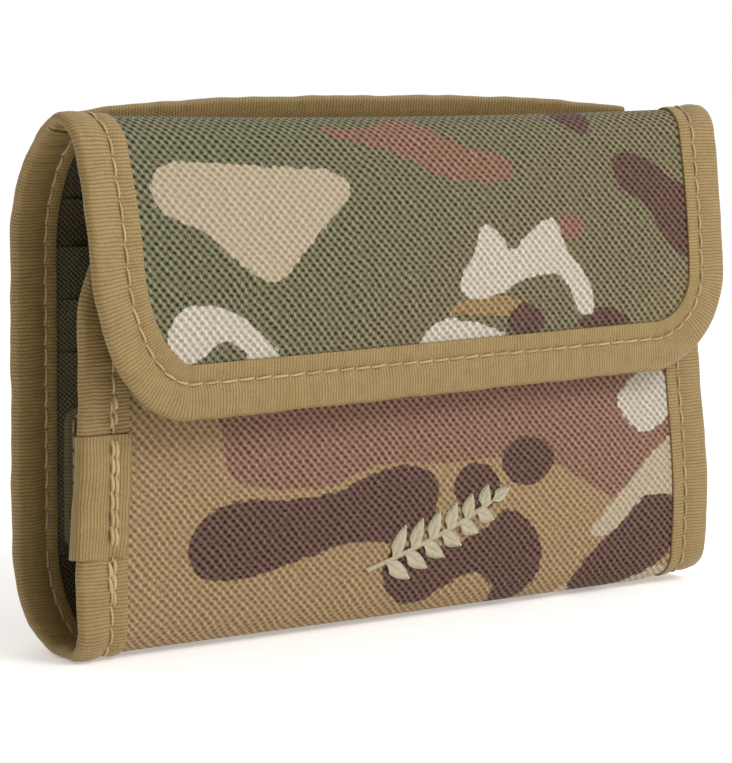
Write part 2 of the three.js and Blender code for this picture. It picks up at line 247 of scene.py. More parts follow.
def waves(u, s):
    """Gentle unevenness of soft cloth, within about one."""
    first = np.sin(u / 11.3 + 0.9 * np.sin(s / 17.0)) * np.sin(s / 13.1 + 0.6 * np.sin(u / 19.0))
    second = np.sin(u / 6.1 + s / 23.0 + 1.7) * np.sin(s / 7.7 - u / 29.0)
    return 0.7 * first + 0.3 * second


def crown(u, s):
    """How far the cloth stands out of the plain profile."""
    middle = np.clip(1 - (np.abs(u) / 66) ** 3, 0, 1)
    broad = np.clip(1 - (np.abs(u) / HALF) ** 5, 0, 1)
    front = FRONT_CROWN * ease((s - 4) / 30) * ease((S_TOE + 4 - s) / 20)
    flap = FLAP_CROWN * ease((s - S_FOLD - 3) / 16) * ease((S_END - s - 6) / 16)
    back = BACK_CROWN * ease((s - S_BOTTOM - 8) / 14) * ease((S_ARC + 14 - s) / 18)
    lifted = (FLAP_LIFT - FLAP_TWIST * u) * ease((s - S_FOLD - 1) / 26)
    loose = 0.16 * waves(u, s) * ease((S_BOTTOM - s) / 12 + ease((s - S_FOLD - 6) / 10))
    return middle * (front + flap) + broad * back + lifted + loose


def matched(*values):
    """Numbers and arrays as arrays of one shape."""
    return np.broadcast_arrays(*[np.asarray(value, float) for value in values])


def surface(u, s, h, crowned=True):
    """Points in millimetres for arrays u, s and h."""
    u, s, h = matched(u, s, h)
    y = np.interp(s, PATH_S, PATH_Y)
    z = np.interp(s, PATH_S, PATH_Z)
    over = np.maximum(s - S_END, 0)
    turn = np.interp(s, PATH_S, TURN)
    bend = np.maximum(np.interp(s, PATH_S, BEND), 1e-4)
    inward = (1 - np.exp(-bend * np.maximum(-h, 0))) / bend
    lift = np.where(h < 0, -inward, h) + (crown(u, s) if crowned else 0)
    tucked = BOTTOM_PINCH * np.abs(u / HALF) ** 5 * bell(s - S_BOTTOM, 11)
    narrow = NARROWING * (ease((S_BOTTOM - s) / 14) + ease((s - S_FOLD) / 8))
    narrow = narrow + FRONT_TAPER * ease((S_TOE + 6 - s) / 58)
    x = u * (1 - narrow / HALF) - np.sign(u) * tucked
    y = y + np.sin(turn) * lift + over * np.cos(turn)
    z = z - np.cos(turn) * lift + over * np.sin(turn)
    z = z + FLAP_TILT * u / HALF * ease((s - S_FOLD) / 45)
    z = z + BOTTOM_LIFT * ease((u - 54) / 17) * bell(s - S_BOTTOM, 10)
    x = x + LOWER_SPREAD * np.maximum(u, 0) / HALF * bell(s - S_TOE + 18, 16)
    z = z - FOLD_SAG * (1 - np.clip(u / HALF, -1, 1) ** 2) * bell(s - S_FOLD, 9)
    return np.stack([x, y, z], axis=-1)


# ---- Meshes ----


def make_object(name, points, faces, material, coords=None, fields=None, sharp=50):
    """A mesh object from points in millimetres. coords are the cloth's own (across, along) lengths."""
    mesh = bpy.data.meshes.new(name)
    mesh.from_pydata((np.asarray(points) * MM).tolist(), [], [list(map(int, f)) for f in faces])
    mesh.update()
    mesh.polygons.foreach_set("use_smooth", [True] * len(mesh.polygons))
    mesh.set_sharp_from_angle(angle=math.radians(sharp))
    if coords is not None:
        layer = mesh.attributes.new("weave", "FLOAT_VECTOR", "POINT")
        flat = np.column_stack([coords, np.zeros(len(coords))]) if coords.shape[1] == 2 else coords
        layer.data.foreach_set("vector", flat.astype(np.float32).ravel())
    for key, values in (fields or {}).items():
        layer = mesh.attributes.new(key, "FLOAT_VECTOR", "POINT")
        layer.data.foreach_set("vector", values.astype(np.float32).ravel())
    mesh.materials.append(material)
    obj = bpy.data.objects.new(name, mesh)
    bpy.context.scene.collection.objects.link(obj)
    return obj


def grid_faces(rows, columns, wrap=False, start=0):
    """Quads over a grid of points, row by row; wrap joins the last column to the first."""
    i, j = np.meshgrid(np.arange(rows - 1), np.arange(columns if wrap else columns - 1), indexing="ij")
    k = (j + 1) % columns
    quads = np.stack([i * columns + j, i * columns + k, (i + 1) * columns + k, (i + 1) * columns + j], -1)
    return (quads.reshape(-1, 4) + start).tolist()


def slab(outer, inner):
    """Points and faces of a closed sheet between two (rows, columns, 3) grids."""
    rows, columns = outer.shape[:2]
    count = rows * columns
    index = np.arange(count).reshape(rows, columns)
    faces = grid_faces(rows, columns)
    faces += [f[::-1] for f in grid_faces(rows, columns, start=count)]
    rim = np.concatenate([index[0, :-1], index[:-1, -1], index[-1, :0:-1], index[:0:-1, 0]])
    after = np.roll(rim, -1)
    faces += np.stack([after, rim, rim + count, after + count], -1).tolist()
    points = np.concatenate([outer.reshape(-1, 3), inner.reshape(-1, 3)])
    return points, faces


def both_faces(u, s):
    """The cloth lengths of a slab's points, the same on its outer and its inner face."""
    return np.tile(np.stack([u, s], -1).reshape(-1, 2), (2, 1))


def loft(sections):
    """Points and faces of a closed body through (stations, ring, 3) rings of points."""
    stations, ring = sections.shape[:2]
    faces = [f[::-1] for f in grid_faces(stations, ring, wrap=True)]
    faces.append(list(range(ring)))
    faces.append(list(range(stations * ring - 1, (stations - 1) * ring - 1, -1)))
    return sections.reshape(-1, 3), faces


def merge(parts):
    """One list of points, faces and coords from several."""
    points, faces, coords, count = [], [], [], 0
    for part in parts:
        points.append(part[0])
        faces += [[i + count for i in face] for face in part[1]]
        coords.append(part[2])
        count += len(part[0])
    return np.concatenate(points), faces, np.concatenate(coords)


# ---- Camouflage ----


def rounded(outline, steps=8):
    """A closed Catmull-Rom curve through the outline's points."""
    p = np.array(outline, float)
    t = np.linspace(0, 1, steps, endpoint=False)[None, :, None]
    a, b, c, d = (np.roll(p, k, axis=0)[:, None] for k in (1, 0, -1, -2))
    curve = 0.5 * (2 * b + (c - a) * t + (2 * a - 5 * b + 4 * c - d) * t**2 + (3 * b - a - 3 * c + d) * t**3)
    return curve.reshape(-1, 2)


def disc(x, z, width, height=None):
    """An oval outline from its centre and half sizes."""
    angle = np.linspace(0, 2 * np.pi, 8, endpoint=False)
    return list(zip(x + width * np.cos(angle), z + (height or width) * np.sin(angle)))


def inside_distance(x, z, outline):
    """Distance to a rounded outline, positive inside it."""
    a = rounded(outline)
    b = np.roll(a, -1, axis=0)
    p = np.stack([x.ravel(), z.ravel()], -1)[:, None]
    edge = (b - a)[None]
    t = np.clip(((p - a) * edge).sum(-1) / (edge**2).sum(-1), 0, 1)
    distance = np.sqrt((((a + t[..., None] * edge) - p) ** 2).sum(-1)).min(1)
    crosses = (a[:, 1] > p[..., 1]) != (b[:, 1] > p[..., 1])
    rise = np.where(np.abs(edge[..., 1]) < 1e-9, 1e-9, edge[..., 1])
    at = a[:, 0] + (p[..., 1] - a[:, 1]) * edge[..., 0] / rise
    inside = (crosses & (p[..., 0] < at)).sum(1) % 2 == 1
    return np.where(inside, distance, -distance).reshape(x.shape)


def field(x, z, outlines):
    """Distance inside the nearest of several outlines."""
    nearest = np.full(x.shape, -20.0)
    for outline in outlines:
        nearest = np.maximum(nearest, inside_distance(x, z, outline))
    return nearest


FLAP_CAMO = {
    "beige": [
        [(-57, 80), (-52, 83), (-36, 82), (-21, 81), (-18, 77),
         (-27, 69), (-34, 63), (-40, 65), (-49, 72), (-56, 75)],
    ],
    "rose": [
        [(-22, 88), (-12, 88), (-4, 89.5), (2, 88), (9, 84.5), (18, 82.5),
         (18, 79), (8, 78.5), (0, 80.5), (-6, 83.5), (-14, 85.5)],
        disc(31, 70, 3.2, 2.6),
    ],
    "cream": [
        [(5, 61), (8, 66), (11, 71), (15, 68.5), (17, 66), (21, 69), (27, 71.5), (30, 66),
         (35, 60), (36.5, 54.5), (33, 54), (29, 60.5), (22, 61.5), (14, 58.5), (7, 58)],
        [(-56, 54), (-54, 58.5), (-48, 59.5), (-41, 57), (-33, 50), (-30, 46),
         (-38, 47), (-41, 51.5), (-45, 53.5), (-49, 51), (-53, 50)],
        [(-4, 48), (-3, 52), (2, 54.5), (9, 53.5), (15, 51.5), (18, 48), (6, 46)],
    ],
    "brown": [
        [(43, 82), (47, 83), (53, 81), (57, 78), (62, 76), (66, 70),
         (65, 63), (59, 63.5), (54, 67.5), (50, 73), (44, 77)],
        [(31, 91), (35, 92), (39.5, 90), (38, 86.5), (34, 87.5)],
        [(16, 53), (19, 56.5), (23, 55.5), (25, 52.5), (21, 50)],
        [(33, 52), (36, 54.5), (41, 54.5), (46, 51.5), (41, 49.5)],
    ],
    "tan": [[(2, 56), (10, 58.5), (19, 57), (20, 54.5), (10, 55)]],
}
FRONT_CAMO = {
    "terracotta": [
        [(-42, 52), (-41, 38), (-40, 30), (-34, 27), (-20, 26), (-8, 29), (6, 28),
         (20, 28), (31, 26), (42, 20), (51, 17), (60, 25), (68, 34), (68, 52)],
    ],
    "brown": [
        [(-48.5, 18), (-45, 23), (-38, 25), (-28, 24.5), (-18, 25), (-8, 28), (0, 28),
         (4.5, 24), (2, 17.5), (-5, 15), (-16, 15.5), (-27, 13.5), (-38, 11.5), (-46, 13)],
        disc(13, 23, 5.2, 4.6),
        disc(25, 27, 6.2, 4.4),
        [(-8, 10), (-4, 14), (6, 13), (15, 15.5), (20, 18.5), (26, 15), (28.5, 8),
         (24, 1.5), (18, 1), (17, 4.5), (13, 7.5), (7, 6), (0, 3), (-6, 5)],
        [(36, 2), (40, 8), (46, 12), (54, 18), (62, 16), (61, 8), (54, 3), (44, 0.5)],
    ],
    "beige": [
        [(40, 12), (47, 19), (57, 27), (66, 30), (74, 20), (68, 8), (60, 9), (55, 17), (47, 12)],
        [(36, 3), (50, 4), (66, 3), (66, -4), (34, -4)],
    ],
    "cream": [[(47, 36), (50, 40), (56, 42.5), (61, 38), (60, 33), (54, 30), (50, 32)]],
}
LAYERS = (("", "tan", "terracotta"), ("beige", "rose", "brown"), ("cream", "ground", ""))


def scattered(x, z, seed, count, size):
    """Smooth streaks of camouflage laid at random, from a fixed seed."""
    rng = np.random.default_rng(seed)
    outlines = []
    for _ in range(count):
        centre = rng.uniform((-70, -40), (70, 100))
        length, height = size * rng.uniform(0.9, 2.2), size * rng.uniform(0.45, 0.8)
        angle = np.linspace(0, 2 * np.pi, 9, endpoint=False) + rng.uniform(0, 0.6)
        reach = rng.uniform(0.65, 1.25, 9)
        tilt = rng.uniform(-0.5, 0.5)
        px, pz = length * reach * np.cos(angle), height * reach * np.sin(angle)
        turned = (px * math.cos(tilt) - pz * math.sin(tilt), px * math.sin(tilt) + pz * math.cos(tilt))
        outlines.append(np.column_stack([centre[0] + turned[0], centre[1] + turned[1]]))
    return field(x, z, outlines)


def camo_fields(points, coords, pattern=None, ground=0.5, seed=1):
    """Each camouflage colour's inside distance, three to a vector attribute."""
    x, z = points[:, 0], points[:, 2]
    found = {}
    if pattern is None:
        sizes = {"tan": (14, 11), "terracotta": (9, 9), "beige": (8, 8), "brown": (13, 6.5), "cream": (6, 5)}
        for k, (key, (count, size)) in enumerate(sizes.items()):
            found[key] = scattered(coords[:, 0], coords[:, 1] % 130 - 30, seed * 10 + k, count, size)
    else:
        for key, outlines in pattern.items():
            found[key] = field(x, z, outlines)
    found["ground"] = ground(x, z) if callable(ground) else np.full(x.shape, ground)
    far = np.full(x.shape, -20.0)
    return {
        f"camo_{k}": np.column_stack([found.get(key, far) for key in keys])
        for k, keys in enumerate(LAYERS)
    }


def flap_ground(x, z):
    """From green at the flap's upper left to khaki at its lower right."""
    return np.clip(0.36 + 0.0042 * x - 0.0062 * (z - 70), 0, 0.8)


# ---- Materials ----


def linear(red, green, blue):
    """Scene-linear colour from 0 to 255 display values."""
    channel = [v / 255 / 12.92 if v <= 10 else ((v / 255 + 0.055) / 1.055) ** 2.4 for v in (red, green, blue)]
    return (*channel, 1.0)


class Shader:
    """One material's nodes. Its values are sockets, numbers or colours."""

    def __init__(self, name):
        self.material = bpy.data.materials.new(name)
        self.material.use_nodes = True
        self.tree = self.material.node_tree
        self.surface = self.tree.nodes["Principled BSDF"]

    def put(self, socket, value):
        if isinstance(value, bpy.types.NodeSocket):
            self.tree.links.new(value, socket)
        else:
            socket.default_value = value

    def node(self, kind, **settings):
        made = self.tree.nodes.new(kind)
        for key, value in settings.items():
            setattr(made, key, value)
        return made

    def math(self, operation, *values, clamp=False):
        made = self.node("ShaderNodeMath", operation=operation, use_clamp=clamp)
        for socket, value in zip(made.inputs, values):
            self.put(socket, value)
        return made.outputs[0]

    def add(self, a, b):
        return self.math("ADD", a, b)

    def minus(self, a, b):
        return self.math("SUBTRACT", a, b)

    def times(self, a, b):
        return self.math("MULTIPLY", a, b)

    def swing(self, value, amount):
        """A number from 0 to 1 made to swing about zero, by half the amount each way."""
        return self.times(self.add(value, -0.5), amount)

    def sum(self, *values):
        total = values[0]
        for value in values[1:]:
            total = self.add(total, value)
        return total

    def wave(self, value, pitch):
        """Cosine of a length, with one cycle each pitch."""
        return self.math("COSINE", self.times(value, 2 * math.pi / pitch))

    def ramp(self, value, low, high):
        """0 below low, 1 above high, smooth between."""
        made = self.node("ShaderNodeMapRange", interpolation_type="SMOOTHSTEP")
        for socket, amount in zip(made.inputs, (value, low, high, 0.0, 1.0)):
            self.put(socket, amount)
        return made.outputs[0]

    def mix(self, factor, a, b):
        made = self.node("ShaderNodeMix", data_type="RGBA")
        self.put(made.inputs[0], factor)
        self.put(made.inputs[6], a)
        self.put(made.inputs[7], b)
        return made.outputs[2]

    def attribute(self, name):
        made = self.node("ShaderNodeAttribute", attribute_name=name)
        split = self.node("ShaderNodeSeparateXYZ")
        self.put(split.inputs[0], made.outputs["Vector"])
        return list(split.outputs)

    def vector(self, x, y, z=0.0):
        made = self.node("ShaderNodeCombineXYZ")
        for socket, value in zip(made.inputs, (x, y, z)):
            self.put(socket, value)
        return made.outputs[0]

    def noise(self, vector, scale, detail=2.0, rough=0.5):
        made = self.node("ShaderNodeTexNoise")
        self.put(made.inputs["Vector"], vector)
        for key, value in (("Scale", scale), ("Detail", detail), ("Roughness", rough)):
            made.inputs[key].default_value = value
        return made.outputs["Fac"]

    def cell(self, x, y):
        """A random number for each whole step of x and y."""
        made = self.node("ShaderNodeTexWhiteNoise", noise_dimensions="2D")
        self.put(made.inputs["Vector"], self.vector(self.math("ROUND", x), self.math("ROUND", y)))
        return made.outputs["Value"]

    def position(self):
        return self.node("ShaderNodeNewGeometry").outputs["Position"]

    def bump(self, height, distance):
        """Relief of the surface, with its depth in millimetres."""
        made = self.node("ShaderNodeBump")
        made.inputs["Distance"].default_value = distance * MM
        made.inputs["Strength"].default_value = 1.0
        self.put(made.inputs["Height"], height)
        self.put(self.surface.inputs["Normal"], made.outputs[0])

    def finish(self, colour, roughness, **uniform):
        self.put(self.surface.inputs["Base Color"], colour)
        self.put(self.surface.inputs["Roughness"], roughness)
        for key, value in uniform.items():
            self.surface.inputs[key.replace("_", " ")].default_value = value
        return self.material


def plain_weave(shader, pitch):
    """A plain weave's height, each thread cell's random number, and fibre noise."""
    u, v, _ = shader.attribute("weave")
    drift = shader.swing(shader.noise(shader.vector(u, v), 0.11, detail=1), 1.1)
    u, v = shader.add(u, drift), shader.minus(v, drift)
    cells = shader.cell(shader.times(u, 1 / pitch), shader.times(v, 1 / pitch))
    height = shader.times(shader.wave(u, 2 * pitch), shader.wave(v, 2 * pitch))
    fine = shader.noise(shader.vector(shader.times(u, 3.0), v), 2.6, detail=2)
    return height, cells, fine


def yarn_spot(shader, u, v, pitch, shift, lean, wide, long):
    """A slanted oval, 1 at its middle, over every other crossing of a plain weave."""
    diagonals = (shader.add(u, v), shader.minus(u, v))
    first, second = (shader.math("MULTIPLY_ADD", d, 0.5 / pitch, shift) for d in diagonals)
    near_first, near_second = (shader.math("ROUND", value) for value in (first, second))
    a, b = shader.minus(first, near_first), shader.minus(second, near_second)
    across, along = shader.add(a, b), shader.minus(a, b)
    across = shader.times(shader.math("MULTIPLY_ADD", along, lean, across), 1 / wide)
    along = shader.times(along, 1 / long)
    square = shader.add(shader.times(across, across), shader.times(along, along))
    spot = shader.math("EXPONENT", shader.times(square, -1.0))
    return spot, shader.cell(near_first, near_second)


def oxford_weave(shader, pitch):
    """A coarse plain weave: the crowns of its warp, the hollows of its weft, and fibre noise. The crowns and
    hollows give its relief, and also its painted highlights and painted shade.
    """
    u, v, _ = shader.attribute("weave")
    drift = shader.swing(shader.noise(shader.vector(u, v), 0.11, detail=1), 1.0)
    jitter = shader.swing(shader.noise(shader.vector(u, v), 0.9, detail=1), 0.22)
    u = shader.sum(u, drift, jitter)
    v = shader.minus(v, shader.add(drift, jitter))
    crown, lot = yarn_spot(shader, u, v, pitch, 0.0, -0.42, 0.22, 0.50)
    hollow_and_shade, other = yarn_spot(shader, u, v, pitch, 0.5, -0.42, 0.40, 0.38)
    hollow_and_shade = shader.times(hollow_and_shade, shader.math("MULTIPLY_ADD", other, 0.5, 0.75))
    fine = shader.noise(shader.vector(shader.times(u, 1.5), v), 2.6, detail=3, rough=0.65)
    return crown, hollow_and_shade, lot, fine


# Each printed colour as its shaded yarns and its lit yarns show it
CAMO_COLOURS = {
    "green": ((26, 25, 6), (152, 150, 116)),
    "khaki": ((42, 34, 10), (158, 148, 116)),
    "sand": ((112, 87, 52), (190, 164, 127)),
    "tan": ((102, 78, 44), (184, 158, 118)),
    "terracotta": ((80, 44, 32), (178, 142, 120)),
    "beige": ((146, 130, 104), (206, 191, 168)),
    "rose": ((74, 40, 24), (176, 138, 116)),
    "brown": ((28, 8, 4), (134, 102, 90)),
    "cream": ((152, 140, 120), (224, 217, 205)),
}
GAIN = 0.96             # the print's own colours against the colours above
TAPE_COLOUR = (149, 125, 79)
WARP_PITCH = 0.46       # of the beads along each rib of the tape


def camo_colour(shader, cells, tone):
    """The printed colour: a ground, then each colour's patch over it, edged thread by thread."""
    first, second, third = (shader.attribute(f"camo_{k}") for k in range(3))
    # tone 0 takes each colour's painted-shade tone, 1 its painted-light tone
    shade = {key: linear(*(GAIN * v for v in pair[tone])) for key, pair in CAMO_COLOURS.items()}
    ground = third[1]
    colour = shader.mix(shader.ramp(ground, 0.1, 0.55), shade["green"], shade["khaki"])
    colour = shader.mix(shader.ramp(ground, 0.6, 0.95), colour, shade["sand"])
    edge = shader.swing(cells, 0.55)
    order = [("tan", first[1]), ("terracotta", first[2]), ("beige", second[0]),
             ("rose", second[1]), ("brown", second[2]), ("cream", third[0])]
    for key, distance in order:
        inside = shader.ramp(shader.add(distance, edge), -0.16, 0.16)
        colour = shader.mix(inside, colour, shade[key])
    return colour


def camo_cloth(name):
    """Printed oxford: each colour in a shaded and a lit tone, chosen yarn by yarn."""
    shader = Shader(name)
    crown, hollow_and_shade, lot, fine = oxford_weave(shader, YARN_PITCH)
    dark, pale = camo_colour(shader, lot, 0), camo_colour(shader, lot, 1)
    # painted highlight on each warp crown and painted shade in each weft hollow pick between the shaded and
    # lit print tones, with random tone per yarn and fibre
    lit = shader.times(crown, shader.math("MULTIPLY_ADD", lot, 0.55, 0.35))
    tone = shader.minus(shader.add(lit, 0.47), shader.times(hollow_and_shade, 0.62))
    tone = shader.add(tone, shader.swing(fine, 1.1))
    colour = shader.mix(shader.math("MULTIPLY_ADD", tone, 1.0, 0.0, clamp=True), dark, pale)
    relief = shader.minus(shader.times(crown, 0.6), shader.times(hollow_and_shade, 0.5))
    shader.bump(shader.add(relief, shader.times(fine, 0.35)), 0.16)
    return shader.finish(colour, 0.66, Specular_IOR_Level=0.2)


def tones(colour, deep, pale):
    """A dark and a light tone of one colour, from factors or triples of factors."""
    return (linear(*(np.multiply(colour, factor).tolist())) for factor in (deep, pale))


def ribbed_tape(name, colour=TAPE_COLOUR, swap=False):
    """Grosgrain: ribs across the tape, each beaded by the warp that passes over it."""
    shader = Shader(name)
    across, along, _ = shader.attribute("weave")
    if swap:
        across, along = along, across
    drift = shader.noise(shader.vector(across, along), 0.16, detail=2)
    along = shader.add(along, shader.swing(drift, 0.9))
    rib = shader.math("POWER", shader.math("ABSOLUTE", shader.wave(along, 2 * RIB_PITCH)), 0.8)
    stagger = shader.times(shader.math("ROUND", shader.times(along, 1 / RIB_PITCH)), math.pi)
    bead = shader.math("COSINE", shader.add(shader.times(across, 2 * math.pi / WARP_PITCH), stagger))
    cells = shader.cell(shader.times(across, 1 / WARP_PITCH), shader.times(along, 1 / RIB_PITCH))
    ground = shader.noise(shader.vector(across, along), 0.35, detail=3)
    # painted highlight on each rib's ridge and bead and painted shade in the valleys between, with random
    # tone from cells and ground noise
    light = shader.add(shader.times(rib, 0.72), shader.times(bead, 0.09))
    light = shader.sum(light, shader.swing(cells, 0.16), shader.swing(ground, 0.5))
    deep, pale = tones(colour, (0.78, 0.75, 0.62), (1.05, 1.05, 1.02))
    shade = shader.mix(shader.ramp(light, -0.1, 0.9), deep, pale)
    shader.bump(shader.add(rib, shader.times(bead, 0.25)), 0.07)
    return shader.finish(shade, 0.5, Specular_IOR_Level=0.45, Sheen_Weight=0.06)


def thread(name, colour, gloss=0.45):
    """Twisted thread: slanting strands round each stitch."""
    shader = Shader(name)
    around, along, tone = shader.attribute("weave")
    slant = shader.add(shader.times(along, 2 * math.pi / 0.55), around)
    strand = shader.math("ABSOLUTE", shader.math("SINE", slant))
    # painted highlight along each strand's ridge and painted shade between strands, with each stitch's own
    # random tone
    light = shader.add(shader.times(strand, 0.6), shader.times(tone, 0.4))
    deep, full = tones(colour, 0.6, 1)
    shade = shader.mix(shader.ramp(light, 0.0, 0.9), deep, full)
    shader.bump(strand, 0.05)
    return shader.finish(shade, gloss, Specular_IOR_Level=0.5, Sheen_Weight=0.15)


def lining_cloth(name, colour, pitch=0.5):
    """A finer plain weave of one dyed colour."""
    shader = Shader(name)
    height, cells, fine = plain_weave(shader, pitch)
    blotch = shader.noise(shader.vector(*shader.attribute("weave")[:2]), 0.06, detail=3)
    # painted light on the weave's raised cells and painted shade in its low cells, with random tone per cell,
    # fibre and blotch
    weave_light_and_tone = shader.add(shader.ramp(height, -0.7, 0.6), shader.swing(cells, 0.25))
    weave_light_and_tone = shader.sum(weave_light_and_tone, shader.swing(fine, 0.4), shader.swing(blotch, 0.5))
    deep, pale = tones(colour, 0.62, 1.12)
    shade = shader.mix(shader.ramp(weave_light_and_tone, 0.0, 1.1), deep, pale)
    shader.bump(height, 0.09)
    return shader.finish(shade, 0.75, Specular_IOR_Level=0.35, Sheen_Weight=0.08)


CAMO = camo_cloth("camo_oxford")
LINED = lining_cloth("dark_lining", (78, 68, 44))
SLOT = lining_cloth("slot_nylon", (88, 86, 60), pitch=0.42)
TAPE = ribbed_tape("binding_grosgrain")
COVER_TAPE = ribbed_tape("cover_grosgrain", swap=True)
SLOT_TAPE = ribbed_tape("slot_grosgrain", (100, 92, 62))
THREAD = thread("seam_thread", (206, 180, 130))
SPRIG_THREAD = thread("sprig_thread", (214, 204, 174), gloss=0.32)
HOOK_STRAND = thread("hook_strand", (112, 96, 62), gloss=0.35)
LOOP_STRAND = thread("loop_strand", (134, 116, 78), gloss=0.6)
PATCH_CLOTH = lining_cloth("patch_backing", (116, 100, 66))
ZIP_CLOTH = lining_cloth("zip_herringbone", (112, 98, 66), pitch=0.46)


def hard_finish(name, colour, rough, metal, worn):
    """Moulded or cast pieces: a mottled tone, rubbed paler here and there, and faint scratches."""
    shader = Shader(name)
    where = shader.position()
    mottle = shader.noise(where, 900.0, detail=4, rough=0.65)
    rub = shader.ramp(shader.noise(where, 420.0, detail=3), 0.5, 0.72)
    deep, full = tones(colour, 0.75, 1)
    shade = shader.mix(mottle, deep, full)
    shade = shader.mix(shader.times(rub, 0.6), shade, linear(*worn))
    scratches = shader.noise(where, 5200.0, detail=2)
    shader.bump(shader.add(mottle, shader.times(scratches, 0.4)), 0.02)
    gloss = shader.math("MULTIPLY_ADD", mottle, 0.25, rough)
    return shader.finish(shade, gloss, Metallic=metal)


TEETH = hard_finish("moulded_teeth", (84, 70, 48), 0.38, 0.0, (110, 94, 66))
METAL = hard_finish("antique_brass", (120, 102, 66), 0.24, 1.0, (176, 152, 100))


def clear_film(name):
    """Thin clear plastic, faintly clouded and scuffed."""
    shader = Shader(name)
    u, v, _ = shader.attribute("weave")
    cloud = shader.noise(shader.vector(u, v), 0.08, detail=3)
    scuff = shader.noise(shader.vector(u, shader.times(v, 0.2)), 1.4, detail=3)
    shade = shader.mix(cloud, linear(232, 236, 232), linear(246, 248, 246))
    rough = shader.math("MULTIPLY_ADD", shader.ramp(scuff, 0.45, 0.75), 0.10, 0.04)
    shader.bump(cloud, 0.12)
    return shader.finish(shade, rough, Transmission_Weight=0.9, IOR=1.4, Coat_Weight=0.4)


FILM = clear_film("window_film")

# ---- Tape ----

# The tape's outer face: (distance from the edge, height over the cloth), inner border to edge
TAPE_CREST = [
    (9.4, 0.28), (9.3, 0.42), (8.9, 0.46), (8.2, 0.48), (7.4, 0.47), (6.9, 0.40), (6.5, 0.29), (6.2, 0.22),
    (5.9, 0.28), (5.5, 0.41), (4.9, 0.55), (4.1, 0.67), (3.2, 0.73), (2.4, 0.71), (1.7, 0.60),
]
INNER_FLANGE = 0.66     # the tape's inner face ends nearer to its seam than the outer, by this factor


def noise_line(l, seed):
    """Slow random unevenness along a tape."""
    rng = np.random.default_rng(seed)
    total = np.zeros_like(l)
    for wavelength, weight in ((23, 0.5), (11, 0.35), (6.3, 0.25)):
        total = total + weight * np.sin(l * 2 * np.pi / wavelength + rng.uniform(0, 2 * np.pi))
    return total


def pull(l):
    """1 where a stitch goes through the tape, 0 midway between stitches."""
    return 0.5 + 0.5 * np.cos(2 * np.pi * l / STITCH_PITCH)


def tape_face(t, crest, l, wobble):
    """Height of the tape's face: its crest, pulled down at each stitch and uneven along its run."""
    puckered = 0.16 * pull(l) * bell(t - SEAM, 1.3) + 0.08 * pull(l) * bell(t - 3.6, 1.8)
    puffed = 0.12 * wobble * bell(t - 3.2, 2.6) + 0.05 * wobble * bell(t - 8.0, 1.0)
    return crest - puckered + puffed


def inner_face(t):
    """Distances from the edge on the tape's inner face, which reaches less far in."""
    return np.where(t > SEAM, SEAM + (t - SEAM) * INNER_FLANGE, t)


PUCKER = 3.0            # how much stronger the puckers are than the tape's plain unevenness


def gathers(l, seed):
    """Small puckers across a tape where it is crowded on the inside of a bend."""
    rng = np.random.default_rng(seed)
    return np.sin(l * 2.9 + 1.4 * np.sin(l * 0.8 + rng.uniform(0, 6))) * (0.7 + 0.3 * np.sin(l * 1.3))


def tape_ring(l, cores, seed, extra=0.0, wide=1.0, crowded=0.0):
    """(t, h) of the tape's cross-section at each station: outer face, edge, inner face, then back inside."""
    outside = noise_line(l, seed)
    inside = noise_line(l, seed + 1) + crowded * PUCKER * gathers(l, seed)
    t, crest = np.array(TAPE_CREST).T
    l, cores, outside, inside = (v[:, None] for v in (l, cores, outside, inside))
    front = tape_face(t, crest + extra, l, outside)
    back = -cores - tape_face(t, crest + extra, l, inside)
    angle = np.radians(np.linspace(70, -70, 9))
    edge_t = 1.7 - 1.75 * np.cos(angle) ** 0.8
    middle = (front[:, -1:] + back[:, -1:]) / 2
    half = (front[:, -1:] - back[:, -1:]) / 2
    edge_h = middle + half * np.sin(angle) / math.sin(math.radians(78))
    outer_t = np.concatenate([t, edge_t, inner_face(t[::-1])])
    outer_h = np.concatenate([front, edge_h, back[:, ::-1]], axis=1)
    keep = np.array([0, 3, 6, 8, 11, 14])
    wall_t = np.concatenate([t[keep], [0.9, 0.62, 0.62, 0.9], inner_face(t[keep[::-1]])])
    wall_front = np.maximum(front[:, keep] - TAPE_WALL, 0.02 + extra)
    wall_back = np.minimum(back[:, keep[::-1]] + TAPE_WALL, -cores - 0.02 - extra)
    edge = np.concatenate([middle + half * f for f in (0.45, 0.22, -0.22, -0.45)], axis=1)
    wall_h = np.concatenate([wall_front, edge, wall_back], axis=1)
    ring = np.concatenate([outer_t, wall_t[::-1]]) * wide
    return np.broadcast_to(ring, (len(l), len(ring))), np.concatenate([outer_h, wall_h[:, ::-1]], axis=1)


RUN_DEPTH = 3.5         # a tape's length is measured this far in from its edge


class EdgePath:
    """A run of (u, s) points along an edge, each with the way inwards and its length from the start."""

    def __init__(self, points, inward):
        self.points, self.inward = np.array(points, float), np.array(inward, float)
        self.l = lengths(self.points + RUN_DEPTH * self.inward)

    def at(self, l, t, h):
        """Surface points at lengths l, t in from the edge and h out of the cloth."""
        u, s, du, ds = (np.interp(l, self.l, column) for column in (*self.points.T, *self.inward.T))
        return surface(u + du * t, s + ds * t, h), s + ds * t


def side_path(side, s0, s1):
    """The straight run along one side of the shell."""
    s = np.linspace(s0, s1, 400)
    edge = np.column_stack([np.full_like(s, side * HALF), s])
    return EdgePath(edge, np.column_stack([np.full_like(s, -side), np.zeros_like(s)]))


